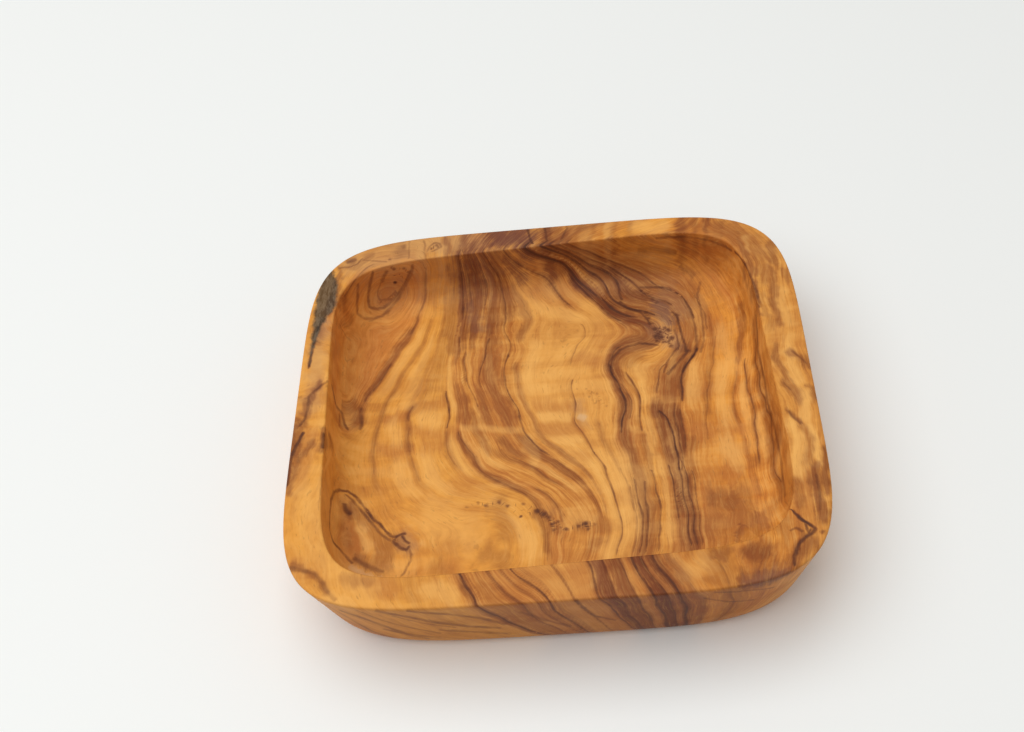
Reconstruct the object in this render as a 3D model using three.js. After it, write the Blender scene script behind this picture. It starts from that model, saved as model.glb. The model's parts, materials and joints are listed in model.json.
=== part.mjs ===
// Olive wood dipping dish: one block of wood, cut to a soft-cornered square whose sides lean in
// towards the foot, and hollowed by a shallow recess that coves into a flat floor.
// Millimetres, +Z up. The origin is the middle of the underside.
import * as THREE from "three";

// Driving dimensions of the block
const LENGTH = 115; // over the rim, along X
const WIDTH = 109; // over the rim, along Y
const HEIGHT = 22; // underside to rim
const RIM_POWER = 5.5; // squareness of the rim: 2 is an ellipse, a large number a sharp rectangle
const FOOT_POWER = 4.8; // squareness of the foot, whose corners are sanded rounder than the rim's
const WALL_LEAN = 4.6; // how far the outer wall comes in between the rim and the underside
const FOOT_RISE = 6; // how far up the wall the rounding of the foot starts
const FOOT_RUN = 3; // how far in along the underside that rounding ends
const OUTER_EDGE_RADIUS = 0.6; // broken edge between the rim and the outer wall

// Driving dimensions of the recess
const RIM_WIDTH = 7.8; // mean width of the flat rim left round the recess
const FLOOR_THICKNESS = 9; // wood left under the recess
const RECESS_POWER = 6.5; // squareness of the recess, cut sharper than the outside
const RECESS_SHIFT_X = -0.7; // the recess was cut by hand, a little off the block's middle
const RECESS_SHIFT_Y = 1;
const RECESS_TURN = THREE.MathUtils.degToRad(2.1); // and a little off its axes
const RECESS_DRAFT = 1; // how far the recess wall comes in between the rim and the floor
const COVE_RISE = 7; // how far up the wall the cove at its foot starts
const COVE_RUN = 7; // how far in along the floor that cove ends
const INNER_EDGE_RADIUS = 0.5; // broken edge between the rim and the recess wall

// Fineness of the facets
const AROUND = 120; // points round every ring
const CURVE_STEPS = 6; // steps along each curved stretch of a section

// Plan of the block and plan of the recess, each a superellipse with its own place
const blockPlan = {
  halfLength: LENGTH / 2,
  halfWidth: WIDTH / 2,
  centre: new THREE.Vector2(0, 0),
  turn: 0,
  power: (z) => THREE.MathUtils.lerp(FOOT_POWER, RIM_POWER, z / HEIGHT),
};
const recessPlan = {
  halfLength: LENGTH / 2 - RIM_WIDTH,
  halfWidth: WIDTH / 2 - RIM_WIDTH,
  centre: new THREE.Vector2(RECESS_SHIFT_X, RECESS_SHIFT_Y),
  turn: RECESS_TURN,
  power: () => RECESS_POWER,
};

// Section of the outer wall as (inset from the block's plan, height), from the underside to the rim.
function outerSection() {
  const section = new THREE.Path();
  const edgeStart = HEIGHT - OUTER_EDGE_RADIUS;
  const leanAt = (z) => WALL_LEAN * (1 - z / edgeStart);
  section.moveTo(WALL_LEAN + FOOT_RUN, 0);
  section.quadraticCurveTo(WALL_LEAN, 0, leanAt(FOOT_RISE), FOOT_RISE);
  section.lineTo(leanAt(edgeStart), edgeStart);
  section.quadraticCurveTo(0, HEIGHT, OUTER_EDGE_RADIUS, HEIGHT);
  return section.getPoints(CURVE_STEPS);
}

// Section of the recess as (inset from the recess's plan, height), from the rim down to the floor.
function recessSection() {
  const section = new THREE.Path();
  const edgeEnd = HEIGHT - INNER_EDGE_RADIUS;
  const draftAt = (z) => (RECESS_DRAFT * (edgeEnd - z)) / (edgeEnd - FLOOR_THICKNESS);
  const coveStart = FLOOR_THICKNESS + COVE_RISE;
  section.moveTo(-INNER_EDGE_RADIUS, HEIGHT);
  section.quadraticCurveTo(0, HEIGHT, draftAt(edgeEnd), edgeEnd);
  section.lineTo(draftAt(coveStart), coveStart);
  section.quadraticCurveTo(RECESS_DRAFT, FLOOR_THICKNESS, RECESS_DRAFT + COVE_RUN, FLOOR_THICKNESS);
  return section.getPoints(CURVE_STEPS);
}

// One closed ring of a plan, taken in by the inset at a height.
function ringOf(plan, inset, z) {
  const a = plan.halfLength - inset;
  const b = plan.halfWidth - inset;
  const n = plan.power(z);
  const ring = [];
  for (let k = 0; k < AROUND; k++) {
    const angle = (2 * Math.PI * k) / AROUND;
    const reach = (Math.abs(Math.cos(angle) / a) ** n + Math.abs(Math.sin(angle) / b) ** n) ** (-1 / n);
    const flat = new THREE.Vector2(reach * Math.cos(angle), reach * Math.sin(angle));
    flat.rotateAround(new THREE.Vector2(), plan.turn).add(plan.centre);
    ring.push(new THREE.Vector3(flat.x, flat.y, z));
  }
  return ring;
}

// A closed skin through the rings, from a point inside the first ring to a point inside the last.
function loft(rings, firstMiddle, lastMiddle) {
  const points = [firstMiddle, ...rings.flat(), lastMiddle];
  const last = points.length - 1;
  const at = (ring, k) => 1 + ring * AROUND + (k % AROUND);
  const faces = [];
  for (let k = 0; k < AROUND; k++) {
    faces.push(0, at(0, k + 1), at(0, k));
    for (let ring = 0; ring + 1 < rings.length; ring++) {
      faces.push(at(ring, k), at(ring, k + 1), at(ring + 1, k + 1));
      faces.push(at(ring, k), at(ring + 1, k + 1), at(ring + 1, k));
    }
    faces.push(last, at(rings.length - 1, k), at(rings.length - 1, k + 1));
  }
  const skin = new THREE.BufferGeometry().setFromPoints(points);
  skin.setIndex(faces);
  skin.computeVertexNormals();
  return skin;
}

// The whole dish is one skin: up the outer wall, across the rim and down into the recess.
function dishGeometry() {
  const outside = outerSection().map((p) => ringOf(blockPlan, p.x, p.y));
  const inside = recessSection().map((p) => ringOf(recessPlan, p.x, p.y));
  const underside = new THREE.Vector3(0, 0, 0);
  const floor = new THREE.Vector3(RECESS_SHIFT_X, RECESS_SHIFT_Y, FLOOR_THICKNESS);
  return loft([...outside, ...inside], underside, floor);
}

// Oiled olive wood
const oliveWood = new THREE.MeshStandardMaterial({ color: 0xbf7f3f, roughness: 0.5, metalness: 0 });

const dishBody = new THREE.Mesh(dishGeometry(), oliveWood);
dishBody.name = "dish_body";

const dish = new THREE.Group();
dish.name = "olive_wood_dipping_dish";
dish.add(dishBody);

export default dish;
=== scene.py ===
# %% [markdown]
# # An olive wood dipping dish
# The dish is one block of olive wood: a soft square, hollowed by a shallow recess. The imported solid
# gives its place and size. This lesson makes a finer skin around that solid, and then grows the wood:
# a field of growth rings that runs through the block, so that the grain carries on from the floor of
# the recess over the rim and down the outer walls.

# %% Load the fixed frame
import json
import math

import bmesh
import bpy
import numpy as np
from mathutils import Matrix, Vector, noise as soft_noise
from mathutils.bvhtree import BVHTree


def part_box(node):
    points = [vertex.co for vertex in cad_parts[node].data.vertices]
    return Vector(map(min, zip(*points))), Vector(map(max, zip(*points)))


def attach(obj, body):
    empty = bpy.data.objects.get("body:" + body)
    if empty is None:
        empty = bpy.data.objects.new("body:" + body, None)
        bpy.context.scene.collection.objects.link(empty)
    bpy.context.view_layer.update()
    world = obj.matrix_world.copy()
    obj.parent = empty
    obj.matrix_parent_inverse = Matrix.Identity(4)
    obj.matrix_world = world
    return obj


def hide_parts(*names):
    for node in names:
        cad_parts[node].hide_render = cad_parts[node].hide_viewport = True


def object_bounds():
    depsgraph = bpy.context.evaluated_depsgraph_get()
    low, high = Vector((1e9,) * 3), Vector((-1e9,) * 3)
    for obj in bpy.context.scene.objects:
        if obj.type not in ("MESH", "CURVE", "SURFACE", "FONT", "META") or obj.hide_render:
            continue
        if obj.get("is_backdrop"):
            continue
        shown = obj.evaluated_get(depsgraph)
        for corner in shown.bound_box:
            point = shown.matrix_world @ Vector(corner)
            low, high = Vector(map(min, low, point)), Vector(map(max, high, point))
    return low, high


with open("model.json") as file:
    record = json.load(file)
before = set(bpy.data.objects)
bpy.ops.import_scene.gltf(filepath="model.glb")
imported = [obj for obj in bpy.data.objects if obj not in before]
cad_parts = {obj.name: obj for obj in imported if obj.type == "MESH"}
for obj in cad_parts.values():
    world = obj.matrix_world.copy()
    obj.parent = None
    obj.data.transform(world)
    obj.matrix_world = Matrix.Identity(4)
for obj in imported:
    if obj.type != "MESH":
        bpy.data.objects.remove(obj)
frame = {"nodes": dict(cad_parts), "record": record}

MM = 0.001
cad_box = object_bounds()
dish_low, dish_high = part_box("dish_body")
LENGTH = dish_high.x - dish_low.x
WIDTH = dish_high.y - dish_low.y
HEIGHT = dish_high.z - dish_low.z
mounts = {mount["name"]: mount for mount in frame["record"]["mounts"]}
recess_middle = Vector(mounts["recess_floor"]["pos_m"])
print("Solid of the dish in mm:", [round(size / MM, 2) for size in (LENGTH, WIDTH, HEIGHT)])

# %% [markdown]
# ## The camera
# The photograph looks down at about 47 degrees from a third of a metre away, with the camera tipped by
# nine degrees. A camera can be aimed with a Track To constraint, but a tipped one is easier to write as
# three turns: round the upright axis, up from the table, and round its own lens.

# %% Place the camera
CAMERA_AZIMUTH = math.radians(6.71)
CAMERA_ELEVATION = math.radians(47.2)
CAMERA_ROLL = math.radians(-9.33)
CAMERA_EYE = Vector((17.1, -208.45, 258.03)) * MM
FOCAL_LENGTH = 50.0
SENSOR_WIDTH = 36.0
NEAREST_SIGHT = 10 * MM

lens = bpy.data.cameras.new("photo_camera")
lens.lens = FOCAL_LENGTH
lens.sensor_width = SENSOR_WIDTH
lens.clip_start = NEAREST_SIGHT
camera = bpy.data.objects.new("photo_camera", lens)
aim = Matrix.Rotation(CAMERA_AZIMUTH, 4, "Z")
aim = aim @ Matrix.Rotation(math.pi / 2 - CAMERA_ELEVATION, 4, "X")
aim = aim @ Matrix.Rotation(CAMERA_ROLL, 4, "Z")
camera.matrix_world = Matrix.Translation(CAMERA_EYE) @ aim
bpy.context.scene.collection.objects.link(camera)
bpy.context.scene.camera = camera
bpy.context.scene.view_settings.view_transform = "Standard"
print("Camera stands", round(CAMERA_EYE.length / MM), "mm from the middle of the underside")

# %% [markdown]
# ## Table and light
# The dish stands on a plain pale table in soft daylight that comes from above and from the left, so the
# left wall of the recess lies in shade and a soft shadow falls to the right. A small lamp would draw that
# shadow with a hard edge. One area lamp, wider than it hangs high, softens it, and a pale world fills
# the shade.

# %% Make the table
TABLE_SIZE = 3.0
TABLE_COLOUR = (0.885, 0.905, 0.905, 1.0)
TABLE_ROUGHNESS = 0.6


def plain_material(name, colour, roughness):
    """A single-colour finish, for the table alone."""
    material = bpy.data.materials.new(name)
    material.use_nodes = True
    shader = material.node_tree.nodes["Principled BSDF"]
    shader.inputs["Base Color"].default_value = colour
    shader.inputs["Roughness"].default_value = roughness
    return material


def table_top():
    """A square sheet at the height of the dish's underside."""
    half = TABLE_SIZE / 2
    mesh = bpy.data.meshes.new("table_top")
    corners = [(-half, -half, 0), (half, -half, 0), (half, half, 0), (-half, half, 0)]
    mesh.from_pydata(corners, [], [(0, 1, 2, 3)])
    mesh.materials.append(plain_material("pale_table", TABLE_COLOUR, TABLE_ROUGHNESS))
    table = bpy.data.objects.new("table_top", mesh)
    bpy.context.scene.collection.objects.link(table)
    return table


table = table_top()
table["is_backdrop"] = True
print("Table:", TABLE_SIZE, "m square")

# %% Hang the lamp and set the world
LAMP_FROM = Vector((-0.60, -0.15, 1.20))
LAMP_SIZE = 1.8
LAMP_POWER = 16.3
LAMP_COLOUR = (0.985, 1.0, 1.0)
WORLD_COLOUR = (1.0, 0.965, 0.915, 1.0)
WORLD_STRENGTH = 0.46

light = bpy.data.lights.new("window_light", "AREA")
light.shape = "SQUARE"
light.size = LAMP_SIZE
light.energy = LAMP_POWER
light.color = LAMP_COLOUR
lamp = bpy.data.objects.new("window_light", light)
lamp.location = LAMP_FROM
bpy.context.scene.collection.objects.link(lamp)

world = bpy.data.worlds.new("soft_room")
world.use_nodes = True
sky = world.node_tree.nodes["Background"]
sky.inputs["Color"].default_value = WORLD_COLOUR
sky.inputs["Strength"].default_value = WORLD_STRENGTH
bpy.context.scene.world = world
print("Lamp hangs", round(LAMP_FROM.length, 2), "m away, world strength", WORLD_STRENGTH)

# %% [markdown]
# ## The section of the dish
# Cut through its middle, the dish shows a rounded foot, a leaning outer wall, a flat rim with broken
# edges, a steep inner wall and a cove that runs into the floor. A turned bowl could be spun from such a
# section. This one is square, so each point of the section is kept as a station: its height, how far it
# lies inside the plan of the block or of the recess, and to which of the two plans it belongs.

# %% Draw the section as stations
WALL_LEAN = 4.6 * MM
FOOT_RISE = 6.0 * MM
FOOT_RUN = 3.0 * MM
OUTER_EDGE_RADIUS = 0.6 * MM
INNER_EDGE_RADIUS = 0.5 * MM
RECESS_DRAFT = 1.0 * MM
COVE_RISE = 7.0 * MM
COVE_RUN = 7.0 * MM
FLOOR_HEIGHT = recess_middle.z

# Steps along each stretch of the section
UNDERSIDE_STEPS = 16
FOOT_STEPS = 8
WALL_STEPS = 18
EDGE_STEPS = 4
RIM_STEPS = 16
RECESS_WALL_STEPS = 8
COVE_STEPS = 14


def bend(start, corner, end, steps):
    """Points of a quadratic curve after its start, ending on its end."""
    points = []
    for k in range(1, steps + 1):
        t = k / steps
        first = (1 - t) ** 2 * Vector(start)
        points.append(first + 2 * t * (1 - t) * Vector(corner) + t ** 2 * Vector(end))
    return points


def straight(start, end, steps):
    """Points of a straight stretch after its start, ending on its end."""
    return [Vector(start).lerp(Vector(end), k / steps) for k in range(1, steps + 1)]


def outer_section():
    """(inset from the block's plan, height) from the underside's edge up to the rim."""
    edge_start = HEIGHT - OUTER_EDGE_RADIUS
    foot_top = (WALL_LEAN * (1 - FOOT_RISE / edge_start), FOOT_RISE)
    points = [Vector((WALL_LEAN + FOOT_RUN, 0))]
    points += bend(points[-1], (WALL_LEAN, 0), foot_top, FOOT_STEPS)
    points += straight(points[-1], (0, edge_start), WALL_STEPS)
    points += bend(points[-1], (0, HEIGHT), (OUTER_EDGE_RADIUS, HEIGHT), EDGE_STEPS)
    return points


def recess_section():
    """(inset from the recess's plan, height) from the rim down to the floor's edge."""
    edge_end = HEIGHT - INNER_EDGE_RADIUS
    cove_top = FLOOR_HEIGHT + COVE_RISE
    draft_at_cove = RECESS_DRAFT * (edge_end - cove_top) / (edge_end - FLOOR_HEIGHT)
    points = [Vector((-INNER_EDGE_RADIUS, HEIGHT))]
    points += bend(points[-1], (0, HEIGHT), (0, edge_end), EDGE_STEPS)
    points += straight(points[-1], (draft_at_cove, cove_top), RECESS_WALL_STEPS)
    floor_edge = (RECESS_DRAFT + COVE_RUN, FLOOR_HEIGHT)
    points += bend(points[-1], (RECESS_DRAFT, FLOOR_HEIGHT), floor_edge, COVE_STEPS)
    return points


def stations():
    """Rows of (block reach, block inset, recess inset, share of the recess's plan, height)."""
    outer, recess = outer_section(), recess_section()
    rows = [(k / UNDERSIDE_STEPS, outer[0].x, 0.0, 0.0, 0.0) for k in range(UNDERSIDE_STEPS)]
    rows += [(1.0, p.x, 0.0, 0.0, p.y) for p in outer]
    for k in range(1, RIM_STEPS):
        rows.append((1.0, outer[-1].x, recess[0].x, k / RIM_STEPS, HEIGHT))
    rows += [(1.0, 0.0, p.x, 1.0, p.y) for p in recess]
    return np.array(rows)


def section_object():
    """One point per station, with the stations' numbers as attributes for the loft."""
    rows = stations()
    mesh = bpy.data.meshes.new("dish_section")
    mesh.from_pydata([(0, 0, height) for height in rows[:, 4]], [], [])
    for column, name in enumerate(("block_reach", "block_inset", "recess_inset", "recess_share")):
        numbers = mesh.attributes.new(name, "FLOAT", "POINT")
        numbers.data.foreach_set("value", rows[:, column].astype(np.float32))
    section = bpy.data.objects.new("dish_section", mesh)
    bpy.context.scene.collection.objects.link(section)
    return section


section = section_object()
print("Stations in the section:", len(section.data.vertices))

# %% [markdown]
# ## The loft, in Geometry Nodes
# Both plans of the dish are superellipses, soft squares that one formula gives for any corner. That is
# a rule, so Geometry Nodes can make the whole skin: a grid is rolled through the stations, from the middle
# of the underside up to the rim and down into the recess. A second grid fills the floor with even squares
# instead of a fan of slivers, because the floor shows most. The edges of both follow the same directions,
# so they weld without a seam.

# %% Small helpers for node trees


def feed(tree, socket, value):
    """Links a socket to another, or sets its plain value."""
    if isinstance(value, bpy.types.NodeSocket):
        tree.links.new(value, socket)
    else:
        socket.default_value = value


def add(tree, kind, inputs=None, **settings):
    """A new node with its settings made and its inputs fed by name or number."""
    node = tree.nodes.new(kind)
    for name, value in settings.items():
        setattr(node, name, value)
    for name, value in (inputs or {}).items():
        feed(tree, node.inputs[name], value)
    return node


def sums(tree, operation, *values):
    """The result of one Math node."""
    node = add(tree, "ShaderNodeMath", dict(enumerate(values)), operation=operation)
    return node.outputs["Value"]


def group_sockets(tree, in_out, sockets):
    """Named sockets on a node group, from (name, kind) pairs."""
    for name, kind in sockets:
        tree.interface.new_socket(name, in_out=in_out, socket_type="NodeSocket" + kind)


# %% A node group for one point of a soft square


def soft_square_group():
    """Where a ray at an angle meets a superellipse of two half sizes and a power."""
    tree = bpy.data.node_groups.new("soft_square", "GeometryNodeTree")
    names = ("Angle", "Half Length", "Half Width", "Power")
    group_sockets(tree, "INPUT", [(name, "Float") for name in names])
    group_sockets(tree, "OUTPUT", [("Point", "Vector")])
    given = add(tree, "NodeGroupInput").outputs
    reach = []
    for turn, half in (("COSINE", "Half Length"), ("SINE", "Half Width")):
        along = sums(tree, turn, given["Angle"])
        share = sums(tree, "ABSOLUTE", sums(tree, "DIVIDE", along, given[half]))
        reach.append((along, sums(tree, "POWER", share, given["Power"])))
    total = sums(tree, "ADD", reach[0][1], reach[1][1])
    length = sums(tree, "POWER", total, sums(tree, "DIVIDE", -1.0, given["Power"]))
    x = sums(tree, "MULTIPLY", reach[0][0], length)
    y = sums(tree, "MULTIPLY", reach[1][0], length)
    point = add(tree, "ShaderNodeCombineXYZ", {"X": x, "Y": y})
    add(tree, "NodeGroupOutput", {"Point": point.outputs["Vector"]})
    return tree


SOFT_SQUARE = soft_square_group()
print("Nodes in a soft square:", len(SOFT_SQUARE.nodes))

# %% Points of the two plans


def plan_point(tree, given, angle, inset, height, recess):
    """One point of the block's plan, or of the recess's, turned and moved to its place."""
    halves = {}
    for name, full in (("Half Length", "Length"), ("Half Width", "Width")):
        half = sums(tree, "MULTIPLY", given[full], 0.5)
        if recess:
            half = sums(tree, "SUBTRACT", half, given["Rim Width"])
        halves[name] = sums(tree, "SUBTRACT", half, inset)
    share = sums(tree, "DIVIDE", height, given["Height"])
    spread = sums(tree, "SUBTRACT", given["Rim Power"], given["Foot Power"])
    power = sums(tree, "MULTIPLY_ADD", share, spread, given["Foot Power"])
    if recess:
        power = given["Recess Power"]
    group = add(tree, "GeometryNodeGroup", node_tree=SOFT_SQUARE)
    for name, value in {"Angle": angle, "Power": power, **halves}.items():
        feed(tree, group.inputs[name], value)
    return group.outputs["Point"]


def to_recess(tree, given, point):
    """Turns a point of the recess's plan and moves it to the recess's middle."""
    turned = add(tree, "ShaderNodeVectorRotate", {"Vector": point, "Angle": given["Recess Turn"]})
    moved = add(
        tree, "ShaderNodeVectorMath", {0: turned.outputs[0], 1: given["Recess Middle"]}, operation="ADD"
    )
    return moved.outputs["Vector"]


def at_height(tree, point, height):
    """The same point with its height set."""
    parts = add(tree, "ShaderNodeSeparateXYZ", {"Vector": point}).outputs
    return add(tree, "ShaderNodeCombineXYZ", {"X": parts["X"], "Y": parts["Y"], "Z": height}).outputs[0]


# %% Numbers of one station


def station_number(tree, given, name, index):
    """An attribute of the section, read at one station."""
    source = add(tree, "GeometryNodeInputNamedAttribute", {"Name": name}, data_type="FLOAT")
    inputs = {"Geometry": given["Section"], "Value": source.outputs["Attribute"], "Index": index}
    return add(tree, "GeometryNodeSampleIndex", inputs, data_type="FLOAT").outputs[0]


def station_height(tree, given, index):
    """The height of one station, which is where its point lies."""
    place = add(tree, "GeometryNodeInputPosition").outputs[0]
    inputs = {"Geometry": given["Section"], "Value": place, "Index": index}
    sampled = add(tree, "GeometryNodeSampleIndex", inputs, data_type="FLOAT_VECTOR").outputs[0]
    return add(tree, "ShaderNodeSeparateXYZ", {"Vector": sampled}).outputs["Z"]


# %% The grid that is rolled round the dish, and the grid of its floor


def moved_grid(tree, across, along, size, place):
    """A grid whose points go where place(u, v) says."""
    inputs = {"Vertices X": across, "Vertices Y": along, "Size X": size, "Size Y": size}
    grid = add(tree, "GeometryNodeMeshGrid", inputs)
    spot = add(tree, "GeometryNodeInputPosition").outputs[0]
    parts = add(tree, "ShaderNodeSeparateXYZ", {"Vector": spot}).outputs
    position = place(parts["X"], parts["Y"])
    inputs = {"Geometry": grid.outputs["Mesh"], "Position": position}
    return add(tree, "GeometryNodeSetPosition", inputs).outputs["Geometry"]


def rolled_skin(tree, given, count):
    """The grid that is rolled round the dish, one ring for each station."""
    around = sums(tree, "MULTIPLY", given["Facets"], 4.0)
    last = sums(tree, "SUBTRACT", count, 1.0)

    def place(u, v):
        step = sums(tree, "ROUND", sums(tree, "MULTIPLY", sums(tree, "ADD", u, 0.5), around))
        index = sums(tree, "ROUND", sums(tree, "MULTIPLY", sums(tree, "ADD", v, 0.5), last))
        side = sums(tree, "FLOOR", sums(tree, "DIVIDE", step, given["Facets"]))
        part = sums(tree, "SUBTRACT", sums(tree, "DIVIDE", step, given["Facets"]), side)
        lean = sums(tree, "ARCTANGENT", sums(tree, "MULTIPLY_ADD", part, 2.0, -1.0))
        angle = sums(tree, "MULTIPLY_ADD", side, math.pi / 2, lean)
        height = station_height(tree, given, index)
        block_inset = station_number(tree, given, "block_inset", index)
        recess_inset = station_number(tree, given, "recess_inset", index)
        block = plan_point(tree, given, angle, block_inset, height, False)
        reach = station_number(tree, given, "block_reach", index)
        block = add(tree, "ShaderNodeVectorMath", {0: block, "Scale": reach}, operation="SCALE").outputs[0]
        recess = plan_point(tree, given, angle, recess_inset, height, True)
        share = station_number(tree, given, "recess_share", index)
        mix = add(tree, "ShaderNodeMix", data_type="VECTOR")
        feed(tree, mix.inputs[0], share)
        feed(tree, mix.inputs[4], block)
        feed(tree, mix.inputs[5], to_recess(tree, given, recess))
        return at_height(tree, mix.outputs[1], height)

    return moved_grid(tree, sums(tree, "ADD", around, 1.0), count, 1.0, place)


def filled_floor(tree, given, index):
    """An even grid that fills the recess's plan inside one station."""
    points = sums(tree, "ADD", given["Facets"], 1.0)

    def place(u, v):
        angle = sums(tree, "ARCTAN2", v, u)
        size = sums(tree, "MAXIMUM", sums(tree, "ABSOLUTE", u), sums(tree, "ABSOLUTE", v))
        height = station_height(tree, given, index)
        inset = station_number(tree, given, "recess_inset", index)
        edge = plan_point(tree, given, angle, inset, height, True)
        spot = add(tree, "ShaderNodeVectorMath", {0: edge, "Scale": size}, operation="SCALE").outputs[0]
        return at_height(tree, to_recess(tree, given, spot), height)

    return moved_grid(tree, points, points, 2.0, place)


# %% The tree that lofts the skin
LOFT_SIZES = [
    ("Length", "Float"), ("Width", "Float"), ("Height", "Float"), ("Rim Width", "Float"),
    ("Rim Power", "Float"), ("Foot Power", "Float"), ("Recess Power", "Float"),
    ("Recess Middle", "Vector"), ("Recess Turn", "Float"), ("Facets", "Int"), ("Wood", "Material"),
]
WELD_DISTANCE = 0.002 * MM


def loft_tree():
    """The whole loft, from the section's stations to a welded skin with its material."""
    tree = bpy.data.node_groups.new("dish_loft", "GeometryNodeTree")
    group_sockets(tree, "INPUT", [("Section", "Geometry")] + LOFT_SIZES)
    group_sockets(tree, "OUTPUT", [("Dish", "Geometry")])
    given = add(tree, "NodeGroupInput").outputs
    count = add(tree, "GeometryNodeAttributeDomainSize", {"Geometry": given["Section"]})
    count = count.outputs["Point Count"]
    last = sums(tree, "SUBTRACT", count, 1.0)
    skin = rolled_skin(tree, given, count)
    floor = filled_floor(tree, given, last)
    joined = add(tree, "GeometryNodeJoinGeometry")
    for part in (floor, skin):
        tree.links.new(part, joined.inputs[0])
    weld = add(tree, "GeometryNodeMergeByDistance", {"Geometry": joined.outputs[0]})
    weld.inputs["Distance"].default_value = WELD_DISTANCE
    smooth = add(tree, "GeometryNodeSetShadeSmooth", {"Geometry": weld.outputs[0]})
    whole = add(tree, "GeometryNodeRealizeInstances", {"Geometry": smooth.outputs[0]})
    wood = add(tree, "GeometryNodeSetMaterial", {"Geometry": whole.outputs[0], "Material": given["Wood"]})
    add(tree, "NodeGroupOutput", {"Dish": wood.outputs[0]})
    return tree


# %% Run the loft and keep its mesh
RIM_WIDTH = 7.8 * MM
RIM_POWER = 5.5
FOOT_POWER = 4.8
RECESS_POWER = 6.5
RECESS_TURN = math.radians(2.1)
FACETS = 180
olive_wood = bpy.data.materials.new("olive_wood")


def set_inputs(modifier, values):
    """Sets a Geometry Nodes modifier's inputs by their sockets' identifiers."""
    for item in modifier.node_group.interface.items_tree:
        if item.item_type == "SOCKET" and item.in_out == "INPUT" and item.name in values:
            modifier[item.identifier] = values[item.name]


def lofted_dish():
    """The loft's result as a plain mesh object at the origin."""
    modifier = section.modifiers.new("loft", "NODES")
    modifier.node_group = loft_tree()
    sizes = {
        "Length": LENGTH, "Width": WIDTH, "Height": HEIGHT, "Rim Width": RIM_WIDTH,
        "Rim Power": RIM_POWER, "Foot Power": FOOT_POWER, "Recess Power": RECESS_POWER,
        "Recess Middle": list(recess_middle), "Recess Turn": RECESS_TURN,
        "Facets": FACETS, "Wood": olive_wood,
    }
    set_inputs(modifier, sizes)
    graph = bpy.context.evaluated_depsgraph_get()
    mesh = bpy.data.meshes.new_from_object(section.evaluated_get(graph))
    section.modifiers.remove(modifier)
    bpy.data.objects.remove(section)
    mesh.name = "dish"
    shape = bmesh.new()
    shape.from_mesh(mesh)
    bmesh.ops.recalc_face_normals(shape, faces=shape.faces)
    shape.to_mesh(mesh)
    shape.free()
    dish = bpy.data.objects.new("dish", mesh)
    bpy.context.scene.collection.objects.link(dish)
    return dish


dish = lofted_dish()
print("Dish skin:", len(dish.data.vertices), "points,", len(dish.data.polygons), "faces")

# %% [markdown]
# The skin repeats the solid's shape with finer steps, so it should lie within a hair of the solid
# everywhere. Measuring that is better than trusting it: each point of the skin is dropped onto the
# solid, and the widest gap is printed.

# %% Measure the skin against the solid


def skin_finder(piece):
    """A search tree over a piece's faces."""
    return BVHTree.FromPolygons(
        [v.co for v in piece.data.vertices], [p.vertices for p in piece.data.polygons]
    )


def widest_gap(piece, solid):
    """The largest distance from a piece's points to the solid's surface, in mm."""
    solid_finder = skin_finder(solid)
    gaps = [solid_finder.find_nearest(v.co)[3] for v in piece.data.vertices]
    return max(gaps) / MM


gap = widest_gap(dish, frame["nodes"]["dish_body"])
print("Widest gap between skin and solid:", round(gap, 3), "mm")
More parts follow.
